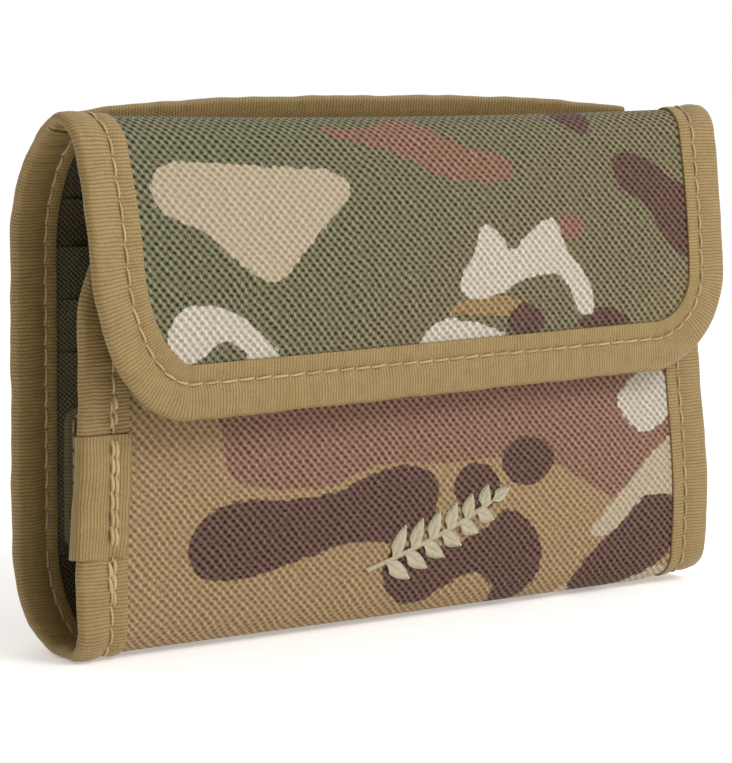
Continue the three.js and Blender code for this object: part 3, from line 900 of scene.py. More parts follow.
def corner(centre, radii, start, end, steps=60):
    """Points and inward directions round an oval corner in (u, s), angles in degrees."""
    angle = np.radians(np.linspace(start, end, steps))
    out = np.column_stack([np.cos(angle), np.sin(angle)])
    inward = -out / np.array(radii)
    inward /= np.linalg.norm(inward, axis=1, keepdims=True)
    return np.array(centre) + np.array(radii) * out, inward


def end_corner(side, radii, edge, start, end):
    """The corner where a panel's side meets its end edge at s = edge."""
    along = radii[1] if edge < S_BOTTOM else -radii[1]
    return corner((side * (HALF - radii[0]), edge + along), radii, start, end)


def joined_path(runs):
    """One edge path from paths and corners in order."""
    runs = [(run.points, run.inward) if isinstance(run, EdgePath) else run for run in runs]
    return EdgePath(np.vstack([r[0] for r in runs]), np.vstack([r[1] for r in runs]))


def flap_path():
    """Down the flap's left side, along its lower edge and up its right side."""
    left, right = FLAP_CORNER[-1], FLAP_CORNER[1]
    return joined_path([
        side_path(-1, S_SPINE, S_END - left[1]),
        end_corner(-1, left, S_END, 180, 90),
        end_corner(1, right, S_END, 90, 0),
        side_path(1, S_END - right[1], S_SPINE),
    ])


def front_path():
    """Up the front panel's right side, along its top edge and down its left side."""
    left, right = FRONT_CORNER[-1], FRONT_CORNER[1]
    return joined_path([
        side_path(1, S_BOTTOM, right[1]),
        end_corner(1, right, 0, 0, -90),
        end_corner(-1, left, 0, -90, -180),
        side_path(-1, left[1], S_BOTTOM),
    ])


def ribbon(name, place, length, cores, seed, start=0.0, material=TAPE, extra=0.0, wide=1.0, shift=0.0,
           crowded=None):
    """A folded tape along a run: place(l, t, h) gives its points. start is where its ribs begin."""
    l = np.linspace(0, length, max(int(round(length / TAPE_STEP)), 2) + 1)
    crowding = crowded(l) if crowded else 0.0
    ring_t, ring_h = tape_ring(l + start, cores(l), seed, extra, wide, crowding)
    edge_wave = 0.14 * noise_line(l + start, seed + 2)[:, None] * bell(ring_t, 3)
    moved = shift(l)[:, None] if callable(shift) else shift
    points = place(l[:, None], ring_t + edge_wave + moved, ring_h)
    steps = np.hypot(np.diff(ring_t, axis=1), np.diff(ring_h, axis=1))
    across = np.concatenate([np.zeros((len(l), 1)), np.cumsum(steps, axis=1)], axis=1)
    along = np.broadcast_to((l + start)[:, None], across.shape)
    solid, faces = loft(points)
    return make_object(name, solid, faces, material, np.stack([across, along], -1).reshape(-1, 2))


def tape_piece(name, path, seed, start=0.0):
    """The binding along an edge path of the wallet."""
    place = lambda l, t, h: path.at(l, t, h)[0]
    cores = lambda l: core(path.at(l, 0, 0)[1])
    bends = ((S_ARC + 22, 9.0), (S_FOLD, 3.0), (S_BOTTOM + 8, 6.0), (S_TOE + 2, 4.0))
    crowded = lambda l: sum(bell(path.at(l, 0, 0)[1] - middle, wide) for middle, wide in bends)
    return ribbon(name, place, path.l[-1], cores, seed, start, crowded=crowded)


def tube(centres, normals, radii, sides=7, shade=0.5):
    """A closed tube through centres, with coords (angle, length, shade)."""
    tangent = np.gradient(centres, axis=0)
    tangent /= np.linalg.norm(tangent, axis=1, keepdims=True)
    binormal = np.cross(tangent, normals)
    binormal /= np.linalg.norm(binormal, axis=1, keepdims=True)
    normals = np.cross(binormal, tangent)
    angle = np.linspace(0, 2 * np.pi, sides, endpoint=False)
    cosine, sine = np.cos(angle)[None, :, None], np.sin(angle)[None, :, None]
    ring = cosine * normals[:, None] + sine * binormal[:, None]
    sections = centres[:, None] + radii[:, None, None] * ring
    points, faces = loft(sections)
    length = np.concatenate([[0], np.cumsum(np.linalg.norm(np.diff(centres, axis=0), axis=1))])
    coords = np.stack(np.broadcast_arrays(angle[None], length[:, None], shade), -1).reshape(-1, 3)
    return points, faces, coords


def stitch(place, l0, l1, offset, height, radius, rng):
    """One stitch along a path: an arched bit of thread with its ends down in the cloth."""
    q = np.linspace(0, 1, 9)
    arch = np.sin(np.pi * np.clip(q, 0.02, 0.98)) ** 0.45
    l = l0 + (l1 - l0) * q
    t = offset + rng.uniform(-0.05, 0.05) + (q - 0.5) * rng.uniform(0.1, 0.3)
    rise = height * (arch - 0.75) * 1.1
    centres = place(l, t, rise)
    normals = place(l, t, rise + 0.1 * np.sign(height)) - centres
    return tube(centres, normals, radius * (0.72 + 0.28 * arch), shade=rng.uniform(0.2, 1.0))


def stitch_row(place, length, seed, offset=SEAM, pitch=STITCH_PITCH, height=0.5,
               radius=THREAD_RADIUS, start=0.0):
    """Stitches at even spacing; a stitch hole falls on each whole pitch of the tape's own length."""
    rng = np.random.default_rng(seed)
    first = math.ceil(start / pitch) * pitch - start
    holes = np.arange(first, length - pitch, pitch)
    return [stitch(place, a + 0.22, a + pitch - 0.22, offset, height, radius, rng) for a in holes]


def seam_rows(paths, seed):
    """The stitches of one or more tapes, on their outer and inner faces."""
    rows = []
    for k, (path, start) in enumerate(paths):
        outer = lambda l, t, h, path=path: path.at(l, t, h + THREAD_LIFT)[0]
        inner = lambda l, t, h, path=path: path.at(l, t, h - core(path.at(l, 0, 0)[1]) - THREAD_LIFT)[0]
        rows += stitch_row(outer, path.l[-1], seed + 10 * k, start=start)
        rows += stitch_row(inner, path.l[-1], seed + 10 * k + 5, height=-0.5, start=start)
    return rows


# ---- Cloth panels ----


def width_full(s, side):
    return np.full_like(s, HALF - EDGE_REACH)


def rounded_width(s, corner_radii, into):
    """Half width where the cloth narrows round a corner, into being how far s is into it."""
    across, along = (r - EDGE_REACH for r in corner_radii)
    into = np.clip(into, 0, along) / along
    return HALF - EDGE_REACH - across + across * np.sqrt(1 - into**2)


def width_front(s, side):
    radii = FRONT_CORNER[side]
    return rounded_width(s, radii, radii[1] - s)


def width_flap(s, side):
    radii = FLAP_CORNER[side]
    return rounded_width(s, radii, s - (S_END - radii[1]))


def width_inner(s, side):
    """Panels sewn in under the tape's inner border."""
    return np.full_like(s, INNER_HALF)


def cloth_panel(name, s0, s1, heights, material, width=width_full, step=1.0, camo=None, crowned=True):
    """A closed sheet over the profile from s0 to s1. heights are numbers or functions of u and s."""
    rows = np.linspace(s0, s1, int((s1 - s0) / step) + 2)
    left, right = width(rows, -1)[:, None], width(rows, 1)[:, None]
    columns = np.linspace(0, 1, int((left.max() + right.max()) / step) + 2)
    u = -left + (left + right) * columns
    s = np.broadcast_to(rows[:, None], u.shape)
    low, high = (h(u, s) if callable(h) else h for h in heights)
    points, faces = slab(surface(u, s, high, crowned), surface(u, s, low, crowned))
    coords = both_faces(u, s)
    fields = camo(points, coords) if camo else None
    return make_object(name, points, faces, material, coords, fields)


def settle(obj, slot, nodes=(), ride=None, zone=None, sheet=None):
    """Hides a finished piece's CAD nodes, parents it to the body given as ride, and bakes its transform when
    a zone is given; slot is not used.
    """
    if nodes:
        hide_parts(*nodes)
    if sheet:
        width, length, held, rests_on = sheet
        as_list(rests_on)
    if ride:
        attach(obj, ride)
    if zone:
        first, second, s0, s1 = BLENDS[zone]
        at_profile(s0)
        at_profile(s1)
        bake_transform(obj)


def sewn_piece(name, rows, **told):
    """Separate stitches or embroidery threads as one piece."""
    points, faces, coords = merge(rows)
    obj = make_object(name, points, faces, THREAD, coords, sharp=80)
    settle(obj, "embroidery_thread", **told)


def at_profile(s):
    """A profile point in metres, for a blend's start or end."""
    return tuple(surface(0, s, 0) * MM * np.array([0, 1, 1]))


SPINE_START = S_ARC + 12
BLENDS = {
    "back": ("back_panel", "top_spine", SPINE_START, S_SPINE - 2),
    "flap": ("top_spine", "flap", S_SPINE + 2, S_FOLD + 4.5),
    "heel": ("bottom_spine", "back_panel", S_BOTTOM + 2, S_BOTTOM + 13),
    "front": ("front_panel", "bottom_spine", S_TOE - 1, S_BOTTOM - 2.5),
}


# Each stretch of shell and lining: where it starts and ends, and its half width
STRETCHES = {
    "back": (S_BACK, S_SPINE, width_full),
    "flap": (S_SPINE, S_END - EDGE_REACH, width_flap),
    "heel": (S_BOTTOM, S_BACK, width_full),
    "front": (EDGE_REACH, S_BOTTOM, width_front),
}


def lining_low(u, s):
    return -core(s)


def lining_high(u, s):
    return -core(s) + LINING


def make_shell():
    """The printed outer cloth in four stretches, each bent at one of the wallet's folds."""
    flap = lambda p, c: camo_fields(p, c, FLAP_CAMO, flap_ground)
    front = lambda p, c: camo_fields(p, c, FRONT_CAMO, 0.93)
    back = lambda p, c: camo_fields(p, c, None, 0.5, seed=4)
    camo = {"back": back, "flap": flap, "heel": back, "front": front}
    nodes = {
        "back": ["back_shell"],
        "flap": ["flap_shell", "top_spine_shell"],
        "heel": ["bottom_spine_shell"],
        "front": ["front_shell"],
    }
    for zone, (s0, s1, width) in STRETCHES.items():
        obj = cloth_panel(f"shell_{zone}", s0, s1, (-CLOTH, 0.0), CAMO, width, camo=camo[zone])
        sheet = (2 * (HALF - EDGE_REACH), s1 - s0, "folded", [])
        settle(obj, "camo_fabric", nodes[zone], zone=zone, sheet=sheet)


def make_linings():
    """The inner cloth in the same four stretches."""
    nodes = {
        "back": [],
        "flap": ["flap_lining", "top_spine_lining"],
        "heel": ["bottom_spine_lining"],
        "front": ["front_lining"],
    }
    for zone, (s0, s1, width) in STRETCHES.items():
        obj = cloth_panel(f"lining_{zone}", s0, s1, (lining_low, lining_high), LINED, width, step=1.5)
        sheet = (2 * (HALF - EDGE_REACH), s1 - s0, "folded", [])
        settle(obj, "lining_fabric", nodes[zone], zone=zone, sheet=sheet)


def make_tapes():
    """The folded tape round every free edge of the shell, and its lines of stitches."""
    back = {side: side_path(side, S_BACK, S_SPINE) for side in (-1, 1)}
    heel = {side: side_path(side, S_BOTTOM, S_BACK) for side in (-1, 1)}
    flap, front = flap_path(), front_path()
    rows = []
    for side, end in ((-1, "left"), (1, "right")):
        rows += [
            (f"back_{end}", "back", back[side], 20 + side, S_BACK, [f"back_binding_{end}"]),
            (f"heel_{end}", "heel", heel[side], 20 + side, S_BOTTOM, [f"bottom_spine_binding_{end}"]),
        ]
    over = ["flap_binding", "top_spine_binding_left", "top_spine_binding_right"]
    rows.append(("flap", "flap", flap, 40, S_SPINE, over))
    round_front = ["front_binding_left", "front_binding_right", "front_binding_top"]
    rows.append(("front", "front", front, 50, 0.0, round_front))
    for name, zone, path, seed, start, nodes in rows:
        obj = tape_piece(f"tape_{name}", path, seed, start)
        settle(obj, "binding_tape", nodes, zone=zone)
    seams = {
        "back": [(back[-1], S_BACK), (back[1], S_BACK)],
        "heel": [(heel[-1], S_BOTTOM), (heel[1], S_BOTTOM)],
        "flap": [(flap, S_SPINE)],
        "front": [(front, 0.0)],
    }
    for k, (zone, paths) in enumerate(seams.items()):
        sewn_piece(f"seam_{zone}", seam_rows(paths, seed=100 + 20 * k), zone=zone)


# ---- Outside details: join cover, back pocket, sprig ----

COVER_LOW_Z, COVER_HIGH_Z = 18.0, 38.2
COVER_LIFT = 0.5
HEAVY_HEIGHT = 0.55     # of the stitches over the join
HEAVY_RADIUS = 0.36


def front_left():
    """The left edge of the front panel, from its top down."""
    return side_path(-1, 0, S_BOTTOM)


def make_cover():
    """The short tape wrapped over the join in the front's left binding, and its heavier stitches."""
    path = front_left()
    top = float(np.interp(front_s(COVER_HIGH_Z), path.points[:, 1], path.l))
    length = float(np.interp(front_s(COVER_LOW_Z), path.points[:, 1], path.l)) - top
    cores = lambda l: core(path.at(l + top, 0, 0)[1])
    place = lambda l, t, h: path.at(l + top, t, h)[0]
    flare = lambda l: -0.35 - 0.9 * (l / length) ** 2
    obj = ribbon("join_cover", place, length, cores, 71, top, COVER_TAPE, COVER_LIFT, 1.06, flare)
    settle(obj, "binding_tape", ["binding_join_cover"], "front_panel")
    rng = np.random.default_rng(72)
    rows = []
    for side in (1, -1):
        deep = 0.0 if side > 0 else 1.0
        at = lambda l, t, h: path.at(l, t, h - deep * core(path.at(l, 0, 0)[1]))[0]
        for start, end, pitch, lift in (
            (top - 6.5, top - 0.3, 2.4, 0.34),
            (top + 0.4, top + length - 0.2, 2.9, 0.42 + COVER_LIFT),
            (top + length + 0.3, top + length + 8.5, 2.6, 0.34),
        ):
            for offset in (SEAM - 0.35, SEAM + 0.45):
                begins = np.arange(start + rng.uniform(0, 0.8), end - pitch, pitch)
                over = lambda l, t, h, lift=lift: at(l, t, h + side * lift)
                height = side * HEAVY_HEIGHT
                rows += [stitch(over, l, l + pitch - 0.1, offset, height, HEAVY_RADIUS, rng) for l in begins]
    sewn_piece("cover_stitches", rows, ride="front_panel")


POCKET_HALF = 61.0
POCKET_LOW_Z = float(span("back_pocket")[0][2])
POCKET_TOP_Z = 93.2
POCKET_DROP = 2.4       # the mouth's ends are this much lower than its middle
POCKET_OFF = 0.55
POCKET_ROOM = 2.0
POCKET_CLOTH = 0.7
POCKET_LEAN = 4.6


def pocket_top(u):
    return POCKET_TOP_Z - POCKET_DROP * np.abs(u / POCKET_HALF) ** 3


def pocket_point(u, z, h):
    """A point of the back pocket's cloth, h out of its outer face."""
    u, z, h = matched(u, z, h)
    low = np.clip(z, POCKET_LOW_Z, TOP_CENTRE[1])
    s = back_s(POCKET_LOW_Z) + low - POCKET_LOW_Z
    behind = surface(u, s, 0)[..., 1]
    full = 1 - np.clip(np.abs(u) / POCKET_HALF, 0, 1) ** 2.6
    open_mouth = ease((z - POCKET_LOW_Z) / 45)
    lean = POCKET_LEAN * np.clip((z - TOP_CENTRE[1]) / 23, 0, 1.2) ** 2
    y = behind + POCKET_OFF + POCKET_ROOM * full * open_mouth - lean * (1 - 0.45 * full)
    y = y + 0.18 * waves(u, z) * ease((z - POCKET_LOW_Z) / 20)
    return np.stack([u, y + h, z], axis=-1)


def make_pocket():
    """The wide pocket across the outside of the back, bound along its mouth."""
    columns = np.linspace(-1, 1, 124) * (POCKET_HALF - 0.4)
    rows = np.linspace(0, 1, 80)[:, None]
    z = POCKET_LOW_Z + (pocket_top(columns) - EDGE_REACH - POCKET_LOW_Z) * rows
    u = np.broadcast_to(columns, z.shape)
    points, faces = slab(pocket_point(u, z, -POCKET_CLOTH), pocket_point(u, z, 0))
    coords = both_faces(u, z)
    fields = camo_fields(points, coords, None, 0.45, seed=7)
    obj = make_object("pocket_back", points, faces, CAMO, coords, fields)
    sheet = (2 * POCKET_HALF, POCKET_TOP_Z - POCKET_LOW_Z, "hung", ["shell_back"])
    settle(obj, "camo_fabric", ["back_pocket"], "back_panel", sheet=sheet)

    length = 2 * POCKET_HALF
    along = lambda l: l - POCKET_HALF
    place = lambda l, t, h: pocket_point(along(l), pocket_top(along(l)) - t, h)
    cores = lambda l: np.full_like(l, POCKET_CLOTH)
    band = ribbon("pocket_mouth", place, length, cores, 81, extra=0.12)
    settle(band, "binding_tape", ["back_pocket_binding"], "back_panel")

    outer = lambda l, t, h: place(l, t, h + 0.34)
    inner = lambda l, t, h: place(l, t, h - POCKET_CLOTH - 0.34)
    rows = stitch_row(outer, length, 82) + stitch_row(inner, length, 83, height=-0.5)
    tall = pocket_top(POCKET_HALF) - 12 - POCKET_LOW_Z
    for side in (-1, 1):
        edge = lambda l, t, h, side=side: pocket_point(side * (POCKET_HALF - t), POCKET_LOW_Z + l, h)
        rows += stitch_row(edge, tall, 84 + side, offset=3.0)
    foot = lambda l, t, h: pocket_point(along(l), POCKET_LOW_Z + t, h)
    rows += stitch_row(foot, length, 87, offset=2.6)
    sewn_piece("pocket_stitches", rows, ride="back_panel")


SATIN_PITCH = 0.42
SATIN_RADIUS = 0.19
STEM_HALF = 0.42
STEM_LIFT = 0.34
LEAF_PAIRS = 6
LEAF_LENGTH = 6.4       # of the lowest pair
LEAF_LOSS = 0.42        # how much shorter each next pair is
SPRIG_LIFT = 0.45


def bent(points, steps=60):
    """Points along a smooth curve through four control points."""
    return bezier(*np.array(points, float), steps)


def satin_thread(a, b, crest, tone):
    """One embroidery thread over the cloth from a to b, points of the front in (x, z)."""
    q = np.linspace(0, 1, 6)
    line = a + (b - a) * q[:, None]
    rise = crest * np.sin(np.pi * np.clip(q, 0.03, 0.97)) ** 0.6
    s = S_TOE - (line[:, 1] - TOE_CENTRE[1])
    centres = surface(line[:, 0], s, rise)
    normals = surface(line[:, 0], s, rise + 0.1) - centres
    return tube(centres, normals, np.full(6, SATIN_RADIUS), sides=5, shade=tone)


def leaf(base, angle, length, width, rng):
    """A leaf of two fans of satin thread that meet along its midrib."""
    way = np.array([math.cos(angle), math.sin(angle)])
    side = np.array([-way[1], way[0]])
    parts = []
    for sign in (-1, 1):
        for d in np.arange(0.02, 0.93, SATIN_PITCH / length):
            reach = min(d + 0.30, 1.0)
            half = width * math.sin(math.pi * reach**0.8) ** 0.8 if reach < 1 else 0.03
            start = base + way * length * d
            end = base + way * length * reach + side * sign * half
            parts.append(satin_thread(start, end, SPRIG_LIFT, rng.uniform(0.35, 1.0)))
    return parts


def make_sprig():
    """A small embroidered sprig low on the front: one curved stem with paired leaves."""
    rng = np.random.default_rng(90)
    stem = bent([(-11.5, 10.4), (-5.0, 12.2), (6.0, 15.0), (16.5, 20.4)])
    length = lengths(stem)
    heading = np.unwrap(np.arctan2(*np.gradient(stem, axis=0).T[::-1]))
    parts = []
    for d in np.arange(0, length[-1], SATIN_PITCH):
        x, z, turn = (np.interp(d, length, c) for c in (*stem.T, heading))
        middle = np.array([x, z])
        across = STEM_HALF * np.array([-math.sin(turn + 0.6), math.cos(turn + 0.6)])
        parts.append(satin_thread(middle - across, middle + across, STEM_LIFT, rng.uniform(0.35, 1.0)))
    for k in range(LEAF_PAIRS):
        for sign in (-1, 1):
            d = length[-1] * (0.14 + 0.145 * k + 0.05 * (sign > 0))
            x, z, turn = (np.interp(d, length, c) for c in (*stem.T, heading))
            base = np.array([x, z])
            parts += leaf(base, turn + sign * 0.85, LEAF_LENGTH - LEAF_LOSS * k, 1.35, rng)
    parts += leaf(stem[-1], heading[-1], 4.6, 1.1, rng)
    points, faces, coords = merge(parts)
    obj = make_object("sprig", points, faces, SPRIG_THREAD, coords, sharp=80)
    settle(obj, "embroidery_thread", ["embroidered_sprig"], "front_panel")


# ---- Inside: note divider, card slots, window ----

SLOT_LOW_Z = float(span("card_slot_1")[0][2])
SEWN = 0.04             # how much of its depth a panel keeps where it is sewn flat
HEM = 4.0
HEM_STEP = 0.22
SLOT_DEPTH = 0.75       # of the first card slot, off the lining
SLOT_STEP = 0.72        # from one card slot to the next
SLOT_SEAM_HALF = 56
DIVIDING_SEAM_X = 30.0  # of the short seam that divides the lowest slot
INNER_THREAD = {"pitch": 3.0, "height": -0.4, "radius": 0.19}


def free_of_sides(u):
    return ease((INNER_HALF + 0.6 - np.abs(u)) / 8)


def layer(depth, thick, foot, top, gape=0.3):
    """The two faces of a panel sewn at its sides and foot, with a hem and a slight gape at its top."""
    def face(extra):
        def height(u, s):
            free = np.maximum(free_of_sides(u) * ease((s - foot + 1) / 7), SEWN)
            hem = HEM_STEP * ease((s - top + HEM) / 0.5)
            loose = gape * ease((s - top + 9) / 9) * free
            return -core(s) - 0.03 - free * (depth + extra * (thick + hem)) - loose
        return height
    return face(1.0), face(0.0)


def inside_back(depth):
    """Placing for stitches on an inner panel: from its top edge down, at its own depth."""
    def place(u, s, h):
        free = np.maximum(free_of_sides(u), SEWN)
        return surface(u, s, -core(s) - 0.03 - free * depth + h)
    return place


def make_inside():
    """The note divider, the card slots stepped down over it, and the window over the lowest."""
    foot = back_s(SLOT_LOW_Z)
    rows = []
    divider_top = S_ARC + 9
    tops = [float(span(f"card_slot_{k}")[1][2]) for k in (1, 2, 3)]
    panels = [("note_divider_sheet", "note_divider", divider_top, 0.12, "lining_fabric", LINED)]
    for k, z in enumerate(tops):
        depth = SLOT_DEPTH + SLOT_STEP * k
        panels.append((f"slot_{k + 1}", f"card_slot_{k + 1}", back_s(z), depth, "slot_fabric", SLOT))
    for name, node, top, depth, slot, material in panels:
        low, high = layer(depth, 0.36, foot, top)
        obj = cloth_panel(name, foot, top, (low, high), material, width_inner, step=0.9)
        sheet = (2 * INNER_HALF, top - foot, "stretched", ["lining_back"])
        settle(obj, slot, [node], "back_panel", sheet=sheet)
        at = inside_back(depth + 0.95)
        across = lambda l, t, h, at=at, top=top: at(l - SLOT_SEAM_HALF, top - t, h)
        rows += stitch_row(across, 2 * SLOT_SEAM_HALF, 200 + int(10 * depth), offset=3.0, **INNER_THREAD)
    at = inside_back(SLOT_DEPTH + 2 * SLOT_STEP + SLOT_STEP)
    down = lambda l, t, h: at(DIVIDING_SEAM_X + t, back_s(tops[-1]) - l, h)
    rows += stitch_row(down, back_s(tops[-1]) - foot - 28, 230, offset=0.0, **INNER_THREAD)
    rows += make_window(foot)
    sewn_piece("inside_stitches", rows, ride="back_panel")


WINDOW_DEPTH = 3.0
WINDOW_BORDER = 6.0
WINDOW_INSET = 1.5      # from the inner panels' sides
TUCK = 1.2              # of the film under its border


def rounded_loop(half, low, high, radius, steps=14):
    """A closed rounded rectangle in (u, s) with its inward directions."""
    points, inward = [], []
    for k, (side, end) in enumerate(((1, low), (1, high), (-1, high), (-1, low))):
        centre = (side * (half - radius), end + (radius if end == low else -radius))
        start = -90 + 90 * k
        arc, way = corner(centre, (radius, radius), start, start + 90, steps)
        points.append(arc)
        inward.append(way)
    return np.vstack(points), np.vstack(inward)


def resampled(points, inward, step):
    """The loop at even steps, closed."""
    points, inward = (np.vstack([v, v[:1]]) for v in (points, inward))
    length = lengths(points)
    l = np.linspace(0, length[-1], int(length[-1] / step), endpoint=False)
    columns = [np.interp(l, length, c) for c in (*points.T, *inward.T)]
    return l, np.column_stack(columns[:2]), np.column_stack(columns[2:])


def make_window(foot):
    """The clear window's bound frame and its film. Gives the frame's stitches back."""
    top = back_s(float(span("window_frame")[1][2]))
    points, inward = rounded_loop(INNER_HALF - WINDOW_INSET, foot + 0.5, top, 3.0)
    l, edge, way = resampled(points, inward, 0.9)
    border = np.array([(0.0, 0.10), (0.1, 0.42), (0.6, 0.5), (2.0, 0.42), (3.0, 0.36), (4.0, 0.42),
                       (5.4, 0.5), (5.9, 0.42), (6.0, 0.10), (5.6, 0.02), (3.0, 0.0), (0.4, 0.02)])
    ring_t, ring_h = border.T
    u = edge[:, :1] + way[:, :1] * ring_t
    s = edge[:, 1:] + way[:, 1:] * ring_t
    at = inside_back(WINDOW_DEPTH)
    sections = at(u, s, -ring_h)
    rows = len(sections)
    faces = [[i % (rows * 12) for i in face] for face in grid_faces(rows + 1, 12, wrap=True)]
    coords = np.stack(np.broadcast_arrays(ring_t[None], l[:, None]), -1).reshape(-1, 2)
    obj = make_object("window_border", sections.reshape(-1, 3), faces, SLOT_TAPE, coords)
    settle(obj, "slot_fabric", ["window_frame"], "back_panel")

    half = INNER_HALF - WINDOW_INSET - WINDOW_BORDER + TUCK
    rows = np.linspace(foot + WINDOW_BORDER - 0.7, top - WINDOW_BORDER + TUCK, 22)[:, None]
    u = np.broadcast_to(np.linspace(-half, half, 90), (22, 90))
    s = np.broadcast_to(rows, u.shape)
    ripple = 0.07 * waves(3 * u, 3 * s)
    sheet = [at(u, s, 0.12 + ripple - thick) for thick in (0.16, 0.0)]
    points, faces = slab(*sheet)
    coords = both_faces(u, s)
    film = make_object("window_pane", points, faces, FILM, coords)
    settle(film, "window_film", ["window_film"], "back_panel")

    threads = []
    for offset in (1.3, 4.7):
        run, loop, _ = resampled(edge + way * offset, way, 0.5)
        place = lambda l, t, h, loop=loop, run=run: at(
            np.interp(l, run, loop[:, 0]), np.interp(l, run, loop[:, 1]), h - 0.5)
        seed = 240 + int(offset)
        threads += stitch_row(place, run[-1], seed, offset=0.0, pitch=2.8, height=-0.4, radius=0.18)
    return threads


# ---- Inside the front: coin pocket and zip ----

ZIP_Z = float(np.mean([b[2] for b in span("zip_slider")]))
ZIP_Y = float(np.mean([b[1] for b in span("zip_slider")]))
ZIP_S = S_TOE - (ZIP_Z - TOE_CENTRE[1])
ZIP_DEPTH = ZIP_Y - float(surface(0, ZIP_S, 0, False)[1])
ZIP_LOW_X = float(span("zip_teeth_upper")[0][0])
ZIP_HIGH_X = float(span("zip_teeth_upper")[1][0])
TOOTH_PITCH = 1.0
STOP_GAP = 1.3          # from the last tooth to the middle of a stop
COIN_SEAM_HALF = 57
COIN_TOP_Z = float(span("coin_pocket_upper")[1][2])
COIN_LOW_Z = float(span("coin_pocket_lower")[0][2])
COIN_HEM = 4.0          # cloth folded in at each panel's free edge
FOLD_GAP = 4.6          # from the zip's middle to the folded edge of each pocket panel


def coin_depth(u, s, top, foot):
    """Depth of the coin pocket's wall: off the lining, and sewn down at its sides, top and foot."""
    free = ease((INNER_HALF + 0.6 - np.abs(u)) / 10) * ease((s - top) / 9) * ease((foot - s) / 3.5)
    flat = core(s) + 0.04
    return flat + (ZIP_DEPTH - flat) * free


def make_coin_pocket():
    """The pocket's wall in two panels, above and below its zip, and their stitches."""
    top, foot = front_s(COIN_TOP_Z), front_s(COIN_LOW_Z)
    on_wall = lambda u, s, h: surface(u, s, h - coin_depth(u, s, top, foot), False)
    rows = []
    panels = (
        ("coin_wall_upper", "coin_pocket_upper", top, ZIP_S - FOLD_GAP, -1),
        ("coin_wall_lower", "coin_pocket_lower", ZIP_S + FOLD_GAP, foot, 1),
    )
    for name, node, s0, s1, side in panels:
        folded = ZIP_S + side * FOLD_GAP
        near = lambda u, s, folded=folded: -coin_depth(u, s, top, foot) - 0.16 * bell(s - folded, 3)
        hem = lambda s, folded=folded: 0.2 * ease((5 - np.abs(s - folded)) / 0.6)
        far = lambda u, s, near=near, hem=hem: near(u, s) - 0.34 - hem(s)
        obj = cloth_panel(name, s0, s1, (far, near), LINED, width_inner, step=0.9, crowned=False)
        sheet = (2 * INNER_HALF, s1 - s0 + COIN_HEM, "folded", ["lining_front"])
        settle(obj, "lining_fabric", [node], "front_panel", sheet=sheet)
        at = lambda l, t, h, folded=folded, side=side: on_wall(
            l - COIN_SEAM_HALF, folded + side * t, h - 0.72)
        rows += stitch_row(at, 2 * COIN_SEAM_HALF, 300 + side, offset=2.0, **INNER_THREAD)
    high = lambda l, t, h: on_wall(l - COIN_SEAM_HALF, top + t, h - 0.4)
    rows += stitch_row(high, 2 * COIN_SEAM_HALF, 305, offset=1.6, **INNER_THREAD)
    sewn_piece("coin_stitches", rows, ride="front_panel")


def zip_surface(x, z, h):
    """A point of the zip's plane, x across, z from its middle line and h towards the wallet's inside."""
    x, z, h = matched(x, z, h)
    return np.stack([x, ZIP_Y + h, ZIP_Z + z], axis=-1)


def make_zip():
    """The two zip tapes, each with a cord along its inner edge, and the teeth on the cords."""
    top, foot = front_s(COIN_TOP_Z), front_s(COIN_LOW_Z)
    for name, side in (("upper", 1), ("lower", -1)):
        s0, s1 = sorted((ZIP_S - side * 1.5, ZIP_S - side * 7.4))
        cord = lambda s: 0.22 * bell(np.abs(s - ZIP_S) - 1.9, 0.45)
        low = lambda u, s: -coin_depth(u, s, top, foot) - 0.12 - cord(s)
        high = lambda u, s: -coin_depth(u, s, top, foot) + 0.12 + cord(s)
        tape = cloth_panel(f"zip_band_{name}", s0, s1, (low, high), ZIP_CLOTH, width_inner, 0.3, None, False)
        settle(tape, "zip_tape", [f"zip_tape_{name}"], "front_panel")
        shift = 0.0 if side > 0 else 0.5
        spots = np.arange(ZIP_LOW_X + 0.4 + shift * TOOTH_PITCH, ZIP_HIGH_X - 0.2, TOOTH_PITCH)
        points, faces, coords = merge([tooth(x, side) for x in spots])
        obj = make_object(f"teeth_{name}", points, faces, TEETH, coords, sharp=35)
        settle(obj, "zip_teeth", [f"zip_teeth_{name}"], "front_panel")


def tooth(x, side):
    """A moulded tooth: a foot round the tape's cord, a neck and a rounded head past the middle line."""
    stations = ((2.5, 0.26, 0.42), (2.3, 0.34, 0.56), (1.2, 0.30, 0.58), (0.6, 0.27, 0.52),
                (0.1, 0.31, 0.54), (-0.3, 0.28, 0.46), (-0.42, 0.16, 0.3))
    angle = np.linspace(0, 2 * np.pi, 8, endpoint=False) + math.pi / 8
    square = 0.55
    ring_x = np.sign(np.cos(angle)) * np.abs(np.cos(angle)) ** square
    ring_h = np.sign(np.sin(angle)) * np.abs(np.sin(angle)) ** square
    sections = [zip_surface(x + wide * ring_x, side * z, thick * ring_h) for z, wide, thick in stations]
    sections = np.array(sections)
    if side < 0:
        sections = sections[:, ::-1]
    points, faces = loft(sections)
    return points, faces, points[:, [0, 2]]


